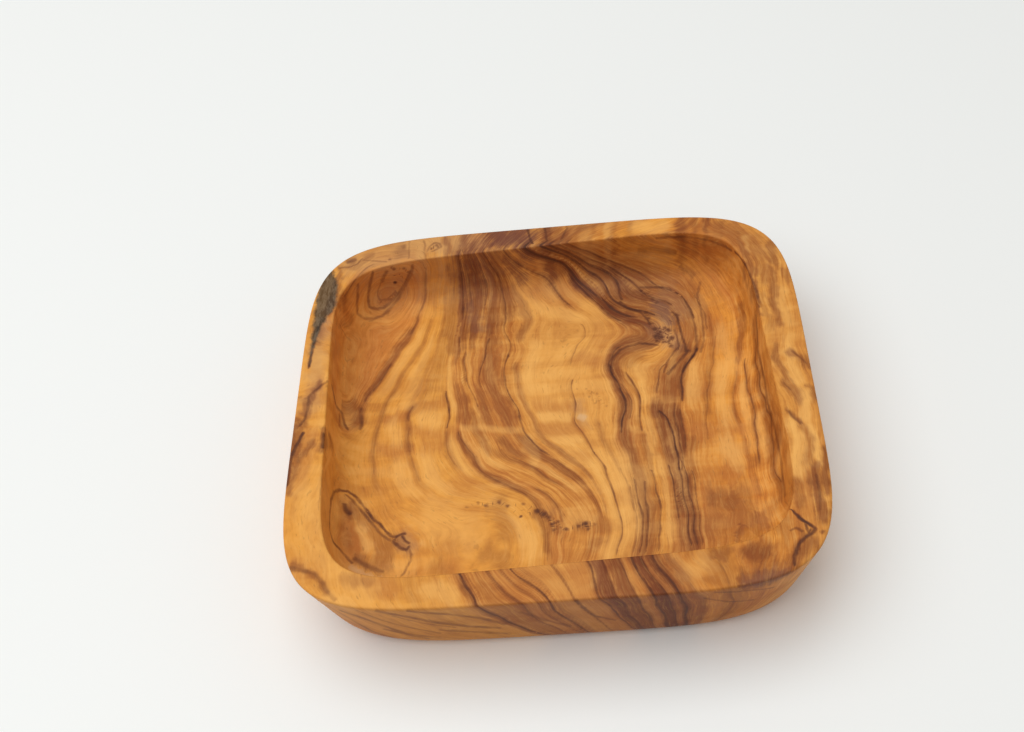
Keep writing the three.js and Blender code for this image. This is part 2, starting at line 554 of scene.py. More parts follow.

# %% [markdown]
# ## The growth rings
# Olive wood is known for its wild figure: dark lines that swirl round knots. The real lines were read
# from the photograph, in plan, and each is kept as a few points with a ring number. Between
# them a smooth field is fitted in all three directions. Its level lines pass through the points, as
# growth rings do, and a material can turn the number into colour as finely as it likes.

# %% Growth lines on the floor of the recess, as (ring number, points in mm from the middle of the dish)
FLOOR_LINES = [
    (-49, [(-31, 45), (-33.2, 40), (-34.8, 33), (-38, 27), (-41, 21), (-44, 16), (-45.6, 11), (-46, 5)]),
    (-41, [(-28.6, 45), (-29.6, 38), (-31.5, 30), (-34, 24.5), (-37, 18), (-39, 11), (-40.6, 4),
           (-41.2, -4), (-40.2, -12), (-38, -17), (-34.5, -22), (-31, -27), (-29, -32), (-28.5, -36)]),
    (-37, [(-37, 1), (-37, -6), (-35.8, -12), (-32.5, -17), (-28.5, -21), (-23, -24), (-18, -27),
           (-15, -31), (-14.5, -36)]),
    (-33, [(-26, 45), (-26.3, 37), (-27.5, 29), (-29.2, 21), (-31, 14), (-33, 8), (-33.3, 1),
           (-32.8, -5), (-31.2, -11), (-27.5, -16.5), (-21, -19), (-15.5, -20.3), (-11, -22.5),
           (-8, -26), (-7, -31), (-7.5, -36)]),
    (-25, [(-24, 45), (-24.3, 38), (-25.2, 30), (-25.8, 22), (-25.8, 16), (-25.2, 11), (-24.5, 6),
           (-24.8, 0), (-24.8, -4), (-23, -9), (-19, -13), (-14, -16), (-9, -18.5), (-6.3, -21.5),
           (-5, -25), (-4, -30), (-4, -36)]),
    (-20.8, [(-21.8, 45), (-22, 38), (-22.8, 30), (-23.6, 22), (-23.4, 16), (-22.2, 11), (-21.4, 6),
             (-20.8, 0), (-19.3, -5), (-16.5, -9.5), (-11.5, -13), (-7, -16), (-3.5, -19), (-1.5, -23),
             (-0.5, -28), (-0.5, -35)]),
    (-14, [(-17, 45), (-17.6, 38), (-18.6, 31), (-19.4, 24), (-19.2, 17), (-17.6, 11), (-15.8, 5),
           (-14, 0), (-10.5, -6), (-5, -11), (0, -15.5), (4, -20), (6.5, -25), (7.2, -30), (6.5, -35)]),
    (-6.8, [(-11.5, 45.5), (-11, 40), (-10.8, 33), (-10.2, 26), (-10.8, 19), (-10.2, 13), (-8.8, 7),
            (-6.8, 0), (-3.8, -4.5), (1, -9.5), (5.5, -14), (8.5, -19), (10.2, -24), (10.5, -29),
            (9, -35)]),
    (-4, [(-9, 46), (-6.5, 41), (-5, 37), (-5.3, 32), (-6.8, 26), (-7.8, 19.5), (-7, 13), (-5.5, 7),
          (-3.6, 0.5), (-0.5, -4), (4.5, -9), (8, -14), (10.4, -19), (11.6, -24), (12, -29), (10.3, -36)]),
    (0.5, [(-3.5, 45.5), (-1, 41), (1.5, 37), (3.2, 33), (2.5, 28), (0, 21), (-1.2, 14), (-0.8, 7),
           (0.5, 1), (3.5, -4.5), (7.2, -10), (10, -16), (11.8, -21), (12.8, -27), (12.5, -32),
           (11.2, -36)]),
    (5, [(1, 45.5), (3, 41.7), (6.5, 38.5), (9.6, 35.2), (11.2, 31.5), (10, 27), (7.5, 21.5), (5.2, 15),
         (4.6, 8), (5, 1), (7.5, -4.5), (10, -10.5), (12, -16.5), (13.2, -22), (13.8, -28), (12.6, -33),
         (12, -36)]),
    (15.2, [(5, 46.5), (10, 42), (12.5, 38), (14.8, 34.6), (19, 31.8), (22, 29)]),
    (15.2, [(22, 25.8), (19.5, 24.9), (16, 24.7), (13.8, 22.8), (13.2, 19.5), (14.2, 15), (15.3, 10),
            (15.8, 5), (15.2, 0), (15, -5), (16.2, -10), (17, -15), (17.8, -20), (18.3, -25),
            (17.8, -30), (17, -35)]),
    (20, [(21.5, 21), (18.5, 19), (17.6, 16), (19, 12), (19.8, 8), (20, 2), (20.2, -5), (20.5, -12),
          (22, -18), (22.3, -25), (22, -35)]),
    (24.2, [(12, 47.3), (16.5, 45.5), (18.7, 42.5), (22, 39.8), (26, 38), (29, 35.5), (30.2, 31),
            (30.2, 26), (28.8, 21.5), (26.8, 17), (25, 12), (24, 7), (23.6, 2), (24.2, -4), (24.8, -11),
            (25.3, -18), (25.6, -25), (25.4, -31), (25.5, -36)]),
    (29.7, [(22.5, 46.6), (26, 44.5), (30.5, 42), (33, 38), (34, 33), (34.3, 27), (33.3, 22), (31.8, 18),
            (30.3, 14), (29.8, 9), (29.7, 3), (29.7, -4), (29.7, -12), (29.8, -20), (30, -28), (30, -36)]),
    (33.5, [(31, 46), (34.5, 43), (36, 38), (36.8, 32), (36.8, 26), (36.2, 21), (35.4, 16), (34.3, 10),
            (33.7, 4), (33.5, -3), (33.5, -12), (33.7, -20), (34, -28), (34, -36)]),
    (41.8, [(38, 45.5), (41.5, 42), (43.8, 36), (44.5, 30), (44.5, 24), (44, 17), (42.8, 10), (41.9, 4),
            (42, -3), (42.3, -10), (42.8, -18), (43.3, -25), (43.5, -33)]),
    (45.3, [(42, 45), (45, 41), (46.8, 34), (47.3, 27), (47, 20), (46.3, 12), (45.6, 5), (45.3, -2),
            (45.2, -10), (45.6, -18), (46.2, -26), (46.2, -33)]),
    (48, [(48.2, 20), (48, 12), (47.8, 5), (48, -3), (48.3, -12), (48.5, -20), (48.2, -29)]),
    (-45, [(-45, 1), (-45, -6), (-44, -12)]), (-47.6, [(-49, 1), (-48.9, -6), (-48.2, -12)]),
    (-56, [(-49.4, 30), (-49.6, 20), (-49.3, 13)]), (-56, [(-42, 44), (-46, 41)]),
    (-53, [(-42, 35), (-45, 25)]),
]
print("Growth lines on the floor:", len(FLOOR_LINES))

# %% Where the same rings cross the rim and the walls
# On the rim, as (x, y, ring number)
FAR_RIM = [
    (-45, 49, -46), (-38, 51, -45), (-32.5, 51, -45), (-28, 51, -42), (-24, 51, -32), (-20.5, 51, -20.8),
    (-15.5, 51, -11), (-10.5, 51, -2), (-6, 51, 8), (-2.5, 51, 15.2), (2, 51, 20), (4.5, 51, 24),
    (6.5, 51, 28.5), (9, 51, 30.5), (13, 51, 32.5), (18, 51, 35), (24, 51, 38), (30, 51, 41.5),
    (33, 51, 43.5), (38, 50.5, 47), (43, 49, 50), (48, 46, 52),
]
RIGHT_RIM = [
    (46.5, 44, 48.5), (48.5, 40, 50), (51, 38, 52), (54, 38, 55), (49.5, 28, 50.5), (52.3, 28, 53),
    (55.5, 28, 57), (49.5, 18, 50.5), (52.2, 18, 53), (56, 18, 57.5), (51.2, 8, 53), (56.5, 6, 58),
    (52.5, -4, 53.5), (54, -14, 54), (50.3, -16, 50.5), (53.6, -24, 54.5), (51.5, -28, 52), (54, -36, 55),
    (50, -36, 50.5),
]
NEAR_RIM = [
    (-45, -48, -41), (-36, -49, -35), (-29, -50, -30), (-23, -47, -24), (-18.5, -49.5, -20.8),
    (-17, -53, -20.8), (-12, -48.5, -14), (-8.5, -47, -6.8), (-6, -49.5, -6.8), (-1.8, -53.5, -6.8),
    (0, -48.5, 3), (3, -53, 4), (6.6, -47, 13.5), (8.2, -53.5, 13.5), (9.8, -48, 16), (13.2, -48, 20),
    (15, -53, 20), (16, -47, 24.2), (20.3, -47, 29.5), (18.4, -53, 24.2), (23, -53, 29.7),
    (23.5, -48.5, 32.5), (28, -48, 36), (36, -47, 40.5), (42, -45, 43), (47, -41, 47),
]
LEFT_RIM = [
    (-52, 38, -45), (-55, 35, -45), (-52.5, 15, -44.5), (-56, 15, -45), (-52, 0, -45), (-56.5, 0, -46),
    (-52, -18, -43.5), (-56, -18, -45.5), (-51.5, -36, -42.5),
]
# On the far wall of the recess, as (x, height, ring number)
FAR_RECESS = [
    (-29.2, 20, -47), (-26.8, 20, -41), (-24.6, 20, -33), (-22.3, 20, -20.8), (-17.5, 20, -12.5),
    (-12.5, 20, -3.5), (-8.8, 20, 6), (-3.4, 20, 15.2), (3.2, 20, 24.2), (8, 20, 29.7), (14, 20, 34),
    (20, 20, 38.5), (28, 20, 43), (35, 20, 46), (-29.8, 16, -47), (-27.2, 16, -41), (-25, 16, -33),
    (-22, 16, -20.8), (-16.8, 16, -12.5), (-10.6, 16, -4), (-5.5, 16, 5), (4, 16, 15.2), (7.8, 16, 24.2),
    (13.2, 16, 29.7), (20, 16, 33.5), (27, 16, 37.5), (34, 16, 42),
]
# On the near outer wall at one height, as (x, ring number)
NEAR_WALL_HEIGHT = 10
NEAR_WALL = [
    (-26, -35), (-18, -30), (-9, -20.8), (-3, -14), (3, -6.8), (8, 4), (12.4, 13.5), (21.4, 24.2),
    (25.6, 29.7), (37, 40.5),
]
# On the left and right outer walls, as (height, ring number), the same at each place along y
SIDE_WALL_PLACES = (-40, -22, -4, 14, 32)
LEFT_WALL = [(17, -48), (9, -53), (2, -57.5)]
RIGHT_WALL = [(17, 59), (9, 63.5), (2, 67.5)]
RIM_PLACES = FAR_RIM + RIGHT_RIM + NEAR_RIM + LEFT_RIM
print("Places on the rim:", len(RIM_PLACES), "and on the far recess wall:", len(FAR_RECESS))

# %% Find these places on the skin
OUT_OF_REACH = 100  # mm from the middle, outside the dish on every side
LINE_STEP = 3.5  # mm between points along a growth line


def spaced(points, step):
    """The points of a polyline with more of them along its longer stretches."""
    corners = np.array(points, float)
    out = [corners[0]]
    for start, end in zip(corners[:-1], corners[1:]):
        count = max(1, round(float(np.linalg.norm(end - start)) / step))
        out += [start + (end - start) * k / count for k in range(1, count + 1)]
    return np.array(out)


def dropped(finder, x, y):
    """The point in mm where a plumb line at (x, y) meets the top of the dish."""
    hit = finder.ray_cast(Vector((x, y, OUT_OF_REACH)) * MM, Vector((0, 0, -1)))[0]
    return np.array(hit) / MM


def pressed(finder, start, inwards):
    """The point in mm where a level line meets a wall."""
    hit = finder.ray_cast(Vector(start) * MM, Vector(inwards))[0]
    return np.array(hit) / MM


def ring_points(finder):
    """Places in mm on the dish and the ring number at each."""
    places, rings = [], []
    for ring, line in FLOOR_LINES:
        for x, y in spaced(line, LINE_STEP):
            places.append(dropped(finder, x, y))
            rings.append(ring)
    for x, y, ring in RIM_PLACES:
        places.append(dropped(finder, x, y))
        rings.append(ring)
    for x, ring in NEAR_WALL:
        places.append(pressed(finder, (x, -OUT_OF_REACH, NEAR_WALL_HEIGHT), (0, 1, 0)))
        rings.append(ring)
    for x, z, ring in FAR_RECESS:
        places.append(pressed(finder, (x, 0, z), (0, 1, 0)))
        rings.append(ring)
    for side, wall in ((-1, LEFT_WALL), (1, RIGHT_WALL)):
        for z, ring in wall:
            for y in SIDE_WALL_PLACES:
                places.append(pressed(finder, (side * OUT_OF_REACH, y, z), (-side, 0, 0)))
                rings.append(ring)
    return np.array(places), np.array(rings, float)


# %% A smooth field through scattered values
SMOOTHING = 30.0
BATCH = 4000  # points at a time, to spare memory


class RingField:
    """A smooth field through scattered values: cubic distances from each place, plus a tilted plane."""

    def __init__(self, places, values):
        count = len(places)
        distance = np.linalg.norm(places[:, None] - places[None], axis=2)
        plane = np.column_stack([np.ones(count), places])
        matrix = np.zeros((count + 4, count + 4))
        matrix[:count, :count] = distance ** 3 + SMOOTHING * np.eye(count)
        matrix[:count, count:] = plane
        matrix[count:, :count] = plane.T
        answer = np.linalg.solve(matrix, np.concatenate([values, np.zeros(4)]))
        self.places, self.weights, self.plane = places, answer[:count], answer[count:]

    def at(self, spots):
        """The ring number at each spot."""
        values = []
        for start in range(0, len(spots), BATCH):
            some = spots[start:start + BATCH]
            distance = np.linalg.norm(some[:, None] - self.places[None], axis=2)
            values.append(distance ** 3 @ self.weights + self.plane[0] + some @ self.plane[1:])
        return np.concatenate(values)

    def slope(self, spots, normals):
        """How fast the ring number changes along a skin with these normals, in rings per mm."""
        steep = []
        weighted = self.weights[:, None] * self.places
        for start in range(0, len(spots), BATCH):
            some, out = spots[start:start + BATCH], normals[start:start + BATCH]
            distance = np.linalg.norm(some[:, None] - self.places[None], axis=2)
            climb = 3 * ((distance @ self.weights)[:, None] * some - distance @ weighted) + self.plane[1:]
            climb -= np.einsum("ij,ij->i", climb, out)[:, None] * out
            steep.append(np.linalg.norm(climb, axis=1))
        return np.concatenate(steep)


# %% Fit the field on the dish


def vectors_of(rows, name):
    """A three-number property of many mesh elements, as rows."""
    flat = np.empty(len(rows) * 3, np.float32)
    rows.foreach_get(name, flat)
    return flat.reshape(-1, 3).astype(float)


def keep_number(piece, name, values):
    """Stores one number per point, for the material to read."""
    attribute = piece.data.attributes.new(name, "FLOAT", "POINT")
    attribute.data.foreach_set("value", np.asarray(values, np.float32))
    print(name, "runs from", round(float(values.min()), 2), "to", round(float(values.max()), 2))


finder = skin_finder(dish)
skin_points = vectors_of(dish.data.vertices, "co") / MM
skin_normals = vectors_of(dish.data.vertex_normals, "vector")
ring_field = RingField(*ring_points(finder))
print("Ring field through", len(ring_field.places), "places")

# %% [markdown]
# ## The figure, drawn along the grain
# A ring is not equally dark along its length. It fades, breaks off at a ripple and starts again, and that
# is what makes olive wood lively. Painting this in plan would take a long winding stroke for each ring.
# Seen by ring number and by the place along y, though, the grain lies straight, so a brush stroke
# needs only two or three points: (ring number, y). The strokes were placed against the photograph.

# %% Soft brown bands, as (half width, amount, points by ring and y)
TONGUE_AND_LEFT_BROWN = [
    (1.6, 0.62, [(-49.4, 34), (-49.2, 26), (-48.9, 20), (-49.6, 15)]),
    (1.4, 0.50, [(-53, 11), (-50, 9.5), (-48.6, 6)]),
    (0.9, 0.30, [(-42.2, 38), (-41.8, 26), (-41.2, 14), (-41.4, 4), (-42.2, -4), (-42, -12)]),
    (0.8, 0.40, [(-33.6, 10), (-33.3, 3), (-33.9, -3)]), (0.8, 0.22, [(-33.9, -4), (-33.4, -13)]),
    (5.0, 0.30, [(-31.5, 21), (-29, 30)]), (4.0, 0.45, [(-27, 34), (-24, 44)]),
    (4.0, 0.78, [(-22, 44.6), (-20, 36)]), (3.0, 0.78, [(-15, 46), (-14.5, 35)]),
    (2.2, 0.68, [(-9.4, 47), (-9.8, 35)]), (1.5, 0.42, [(-21, 36), (-21, 26)]),
    (0.5, 0.45, [(-25, 13), (-24.8, 6)]), (0.8, 0.25, [(-25.3, 1), (-25.2, -8)]),
]
MIDDLE_BROWN = [
    (1.9, 0.40, [(-9.8, 21), (-9.5, 5)]), (1.3, 0.40, [(-13.3, 12), (-14.4, 5)]),
    (1.2, 0.45, [(-9.4, 30), (-10.4, 23)]), (1.4, 0.42, [(-19, 12), (-19.4, 5)]),
    (0.9, 0.38, [(-21, 15), (-21.8, 6)]), (0.9, 0.35, [(-17, 25), (-16.8, 18)]),
    (1.4, 0.55, [(-8.6, -3), (-8.9, -8), (-9, -14)]), (1.1, 0.48, [(-13, -2.5), (-12.4, -6)]),
    (0.9, 0.55, [(-21.6, 0), (-21, -6), (-21.4, -12), (-22.3, -17), (-22.8, -21)]),
    (0.9, 0.35, [(-15.6, -6), (-14.3, -10), (-14.6, -15)]), (1.2, 0.50, [(-17.5, 6), (-17.2, -4)]),
    (0.9, 0.32, [(-9.6, -18), (-9.4, -25)]), (0.6, 0.35, [(-19.3, -17), (-19, -24)]),
    (1.3, 0.28, [(-12, -28), (-8, -27), (-5, -30)]), (1.1, 0.35, [(-14, -33), (-9, -32)]),
    (0.8, 0.48, [(-4.6, 45), (-4.2, 36), (-4.9, 30)]),
    (0.7, 0.40, [(-5, 20), (-4.5, 12), (-4.3, 3), (-4.6, -2)]),
    (1.0, 0.48, [(-4.8, -4), (-5, -10), (-4.8, -14)]), (0.8, 0.25, [(-4.8, -16), (-5.2, -24)]),
    (0.9, 0.50, [(3.9, 46), (4, 40)]), (0.8, 0.30, [(3.8, -18), (4, -27), (3.8, -34)]),
    (0.9, 0.30, [(9, 0), (9.8, -5), (11.2, -12)]), (1.3, 0.55, [(-23.8, -25), (-23.2, -32)]),
]
RIGHT_BROWN = [
    (3.0, 0.84, [(15.4, 46), (17, 40), (16, 34)]), (2.2, 0.75, [(21, 44.5), (21, 38)]),
    (1.6, 0.72, [(22, 48.6), (22, 46)]), (3.2, 0.72, [(22.5, 47), (23.4, 41), (22.4, 35)]),
    (1.5, 0.60, [(14.8, 25), (15.6, 20), (15.3, 10), (15.1, 1)]), (1.0, 0.40, [(16.5, 8), (16.1, 2)]),
    (1.3, 0.46, [(15.2, 2), (15.3, -3), (16.3, -9), (16.2, -15)]),
    (2.0, 0.44, [(16.6, -14), (17.2, -33)]), (0.6, 0.42, [(19.9, 14), (19.7, 4)]),
    (0.7, 0.35, [(19.3, -4), (19.6, -12)]), (2.1, 0.34, [(27, 20), (27.2, 9)]),
    (1.2, 0.42, [(30.4, -7), (30.4, -15)]), (1.4, 0.72, [(23.8, 3.5), (25.6, 2), (26.8, 0)]),
    (1.2, 0.55, [(25.4, -1), (25.3, -7)]), (1.0, 0.65, [(28.7, 3), (28.6, -3), (28.8, -9)]),
    (1.3, 0.70, [(24.6, -8), (25.3, -11)]), (1.4, 0.55, [(24.4, -1), (24.4, -8), (25, -14)]),
    (1.0, 0.62, [(24.9, -12), (25, -17), (25.4, -25)]),
    (2.0, 0.45, [(26.6, 2), (26.8, -8), (26.6, -16), (27, -26), (27.2, -35)]),
    (1.4, 0.60, [(28.2, -17), (28.4, -25), (28.6, -33)]), (1.0, 0.40, [(25, -28), (25.2, -33)]),
    (0.8, 0.50, [(30.4, 21), (29.3, 15), (29.6, 7)]),
    (0.8, 0.32, [(33.5, 36), (34.7, 24), (34.7, 14), (34.2, 2)]),
    (1.5, 0.55, [(33.5, -22.5), (36, -23.5), (37.5, -23)]),
    (1.5, 0.60, [(38, -31), (40.5, -31.5), (42, -29)]), (2.2, 0.35, [(31, -30), (36, -31)]),
    (1.0, 0.32, [(43, -28), (46, -26)]), (1.0, 0.52, [(43.4, 31), (42.5, 24), (41.4, 17)]),
    (0.7, 0.32, [(41, 14), (41.2, 4), (41.4, -2)]), (0.7, 0.36, [(41.6, -7), (42, -14), (42.3, -22)]),
    (0.6, 0.40, [(43.8, 14), (44.8, 4), (44.7, -6), (44, -14)]),
    (0.9, 0.50, [(46.6, 22), (46.6, 14), (47.3, 5), (47.4, -4), (47.2, -14), (47.4, -24)]),
    (3.6, 0.42, [(30, 44), (33, 38)]), (2.6, 0.28, [(28, 36), (31, 28)]),
    (1.8, 0.30, [(36, 44), (38, 38)]), (1.1, 0.42, [(31, 27), (31, 22)]),
    (1.3, 0.50, [(24.5, 22), (28, 21)]), (1.8, 0.62, [(17.5, 25), (17.5, 17)]),
    (2.4, 0.42, [(38, -24), (38.5, -33)]), (0.6, 0.34, [(48.1, 12), (48.3, 0), (48.2, -8)]),
]
NEAR_BROWN = [
    (1.0, 0.60, [(-20.8, -46), (-20.8, -57)]), (2.4, 0.30, [(-17.5, -52), (-17.5, -57)]),
    (0.8, 0.40, [(-14, -46), (-14, -57)]), (0.9, 0.45, [(-10, -46), (-10, -57)]),
    (0.8, 0.45, [(-6.8, -46), (-6.8, -57)]), (1.0, 0.30, [(-4, -46), (-4, -57)]),
    (0.7, 0.35, [(4, -46), (4, -57)]), (0.9, 0.18, [(-30, -47), (-30, -57)]),
    (2.2, 0.80, [(15.4, -45), (15.8, -57)]), (2.2, 0.70, [(19, -45), (19, -57)]),
    (2.2, 0.80, [(25.6, -45), (26, -57)]), (1.7, 0.74, [(29.5, -45), (29.8, -57)]),
    (1.2, 0.55, [(32.8, -47), (33, -57)]), (2.0, 0.35, [(38, -50), (39, -57)]),
]
GRAIN_BROWN = TONGUE_AND_LEFT_BROWN + MIDDLE_BROWN + RIGHT_BROWN + NEAR_BROWN
print("Brown bands:", len(GRAIN_BROWN))

# %% Ruddy zones and the deeper half of each ripple, which lies across the grain
GRAIN_RUDDY = [
    (2.6, 0.75, [(-10.2, 24), (-10, 4.5)]), (1.6, 0.65, [(-13.6, 13), (-14.4, 4.5)]),
    (1.5, 0.40, [(-9.4, 33), (-10, 26)]), (1.6, 0.50, [(-19.2, 13), (-19.4, 5)]),
    (3.0, 0.30, [(-54, 30), (-54, 18)]), (2.4, 0.35, [(34, -20), (41, -21)]),
    (1.8, 0.40, [(-12, -4), (-9, -7)]), (2.5, 0.40, [(41, 44), (42, 38)]),
    (0.9, 0.50, [(-40, 6.5), (-36.5, 7.2), (-33.5, 7.5)]), (0.9, 0.38, [(-33, 9.5), (-26, 10.5)]),
    (1.0, 0.50, [(-40.5, -2), (-37, -3.5), (-33.6, -2.5)]),
    (1.0, 0.42, [(-33, 3), (-30, 1.5), (-27, 0.5)]),
    (1.1, 0.36, [(-31, -3.5), (-27.5, -1.5), (-22.5, 1)]), (0.8, 0.42, [(-25.5, 1.5), (-21.5, 1.5)]),
    (1.2, 0.30, [(-30, -16), (-25, -13)]), (0.9, 0.42, [(3.5, 22), (8, 20.5), (13, 20)]),
    (1.0, 0.48, [(-3.3, 0), (0, -0.6), (4.5, -0.5)]), (1.1, 0.36, [(-2, 7.5), (3.5, 6)]),
    (0.8, 0.28, [(-3, -9), (2, -8)]), (1.6, 0.26, [(5.5, 28), (11, 25)]),
    (1.1, 0.55, [(31, -3.5), (36, -3.8), (41.5, -4)]), (1.0, 0.36, [(32, 8), (35, 8.5)]),
    (0.9, 0.30, [(4, -20), (13, -20.5)]), (0.9, 0.30, [(14, -4), (20, -5)]),
    (4.0, 0.45, [(-14, -51), (6, -51)]), (4.0, 0.55, [(8, -51), (32, -51)]),
    (4.0, 0.40, [(36, -50), (42, -50)]),
]
print("Ruddy zones:", len(GRAIN_RUDDY))

# %% Pale bands, and the paler half of each ripple
GRAIN_PALE = [
    (0.7, 0.70, [(18.4, 48), (19, 45.5), (19.6, 43)]), (1.8, 0.38, [(-45, 33), (-44.5, 18)]),
    (1.5, 0.35, [(-38, 30), (-38, 20)]), (1.8, 0.42, [(-37.5, 4), (-36.5, 2)]),
    (1.8, 0.45, [(-36.5, -9), (-36, -14)]), (1.3, 0.48, [(-30.5, 6.5), (-28, 5)]),
    (1.8, 0.48, [(-30.5, -7), (-31, -13)]), (1.0, 0.42, [(-24, 24), (-23.5, 10)]),
    (1.3, 0.42, [(-24, -3), (-24, -9)]), (2.4, 0.55, [(-33, -28), (-29, -32)]),
    (0.5, 0.36, [(-21, 2.4), (-16, 2), (-12, 0.8), (-7.5, 0.5)]),
    (0.6, 0.45, [(-18.3, 18.5), (-18.2, 17)]), (0.9, 0.40, [(-18.6, -5), (-18.2, -9)]),
    (0.9, 0.38, [(-12, -11), (-12.3, -17)]), (1.2, 0.40, [(-2.5, 26), (-2.5, 14)]),
    (0.7, 0.55, [(-2.5, 4), (3.5, 3.5)]), (0.7, 0.48, [(-3, -3.5), (3, -3.6)]),
    (2.2, 0.38, [(0, -14), (0, -22)]), (2.2, 0.32, [(8, -16), (9, -28)]),
    (1.3, 0.45, [(-2.5, 40), (2, 36)]), (1.8, 0.30, [(8, 42), (11, 37)]),
    (1.0, 0.42, [(21.6, 17), (21.4, 8)]), (1.1, 0.48, [(21.3, 0), (21.5, -5)]),
    (1.0, 0.38, [(21.8, -11), (22, -32)]), (1.4, 0.48, [(31.5, 15), (31.8, 8)]),
    (2.0, 0.55, [(37.5, 14), (37.5, 10)]), (1.8, 0.55, [(38, 4), (39, 1)]),
    (2.0, 0.60, [(37.5, -9), (39, -11)]), (1.0, 0.48, [(43, 8), (43, 0)]),
    (0.9, 0.42, [(45.8, -2), (46, -12)]), (1.8, 0.42, [(37, 26), (39.5, 16)]),
    (1.0, 0.32, [(45.7, 34), (47, 27)]), (0.6, 0.50, [(5.3, 3.6), (7, 3)]),
    (0.4, 0.20, [(17, -1.5), (20, -2.5)]), (0.9, 0.35, [(-16, 25), (-15, 20)]),
]
print("Pale bands:", len(GRAIN_PALE))

# %% Thin lines of late wood, as (half width, darkness, points by ring and y)
LEFT_LINES = [
    (0.30, 0.40, [(-48.9, 45.8), (-49.2, 39), (-49, 34)]), (0.24, 0.40, [(-20.6, 48.2), (-20.6, 40)]),
    (0.24, 0.36, [(-17.4, 48.2), (-17, 42)]), (0.24, 0.40, [(-12, 48.2), (-12.4, 42)]),
    (0.34, 0.40, [(-48.6, 24), (-48.2, 18), (-49, 13)]),
    (0.30, 0.20, [(-41.4, 16), (-41.2, 8), (-41.8, 0), (-42, -9)]),
    (0.36, 0.50, [(-33.7, 9.8), (-33.2, 6)]), (0.28, 0.22, [(-33.2, 3.5), (-33.9, -3), (-33.4, -12)]),
    (0.26, 0.62, [(-25.2, 13.5), (-25, 9), (-24.7, 6), (-25.2, 3)]),
    (0.24, 0.26, [(-25.3, 1.5), (-25.2, -8)]), (0.24, 0.45, [(-20.2, 42), (-19.9, 38)]),
    (0.24, 0.40, [(-20, 31), (-19.6, 25)]),
    (0.24, 0.40, [(-16.9, 26), (-16.7, 20), (-16, 14), (-15.4, 9)]),
    (0.24, 0.45, [(-10.2, 30), (-11.2, 23), (-12.3, 15)]),
    (0.26, 0.45, [(-8, 48.2), (-7.8, 46), (-7.2, 40), (-7.3, 32), (-6.9, 28), (-7, 24)]),
    (0.26, 0.55, [(-7, 24), (-7.2, 19), (-6.9, 13), (-6.7, 7), (-7, 2), (-7.3, -2), (-7.8, -7)]),
    (0.26, 0.35, [(-21.8, 1), (-20.6, -5), (-21.7, -12), (-22.8, -18)]),
    (0.24, 0.32, [(-19.4, -17), (-19, -21), (-19.6, -26)]),
    (0.24, 0.30, [(-14.3, -5), (-13.9, -9), (-14.8, -15)]),
    (0.24, 0.30, [(-8, -9), (-8.3, -15), (-9, -24)]),
]
MIDDLE_LINES = [
    (0.22, 0.32, [(1, 32.5), (1.6, 28), (2.4, 23), (2.9, 20)]),
    (0.26, 0.42, [(4.4, 48.2), (4, 46), (4.1, 40)]),
    (0.22, 0.46, [(4.6, 14.5), (4.8, 11), (4.9, 7), (4.9, 4), (4.6, 1), (4.6, -4), (4.3, -7.5)]),
    (0.24, 0.48, [(4.4, -8), (5, -10), (5.7, -12), (4.3, -14.5), (3.7, -17), (3.9, -24), (4.4, -30),
                  (4, -35)]),
    (0.22, 0.26, [(11.6, -13), (12.9, -18), (13.2, -24)]),
    (0.24, 0.32, [(13.4, -18), (13.5, -26), (13.6, -35)]),
    (0.26, 0.48, [(14.8, -16), (15.3, -22), (15.6, -28), (15.8, -35)]),
    (0.28, 0.50, [(17.2, -17), (17, -26), (17.4, -35)]),
    (0.28, 0.55, [(19.6, -14), (19.8, -26), (20, -35)]),
    (0.30, 0.82, [(15.7, 18), (15.4, 15), (15.9, 12), (15.4, 8), (15.2, 5), (14.9, 0), (14.8, -2)]),
    (0.26, 0.55, [(15.3, 24), (15.9, 21), (15.3, 18.5)]),
    (0.24, 0.40, [(16.9, 12), (17.2, 7), (16.8, 2)]),
    (0.28, 0.55, [(19.8, 15.5), (20.1, 10), (20, 6), (19.4, 2), (19, -2)]),
]
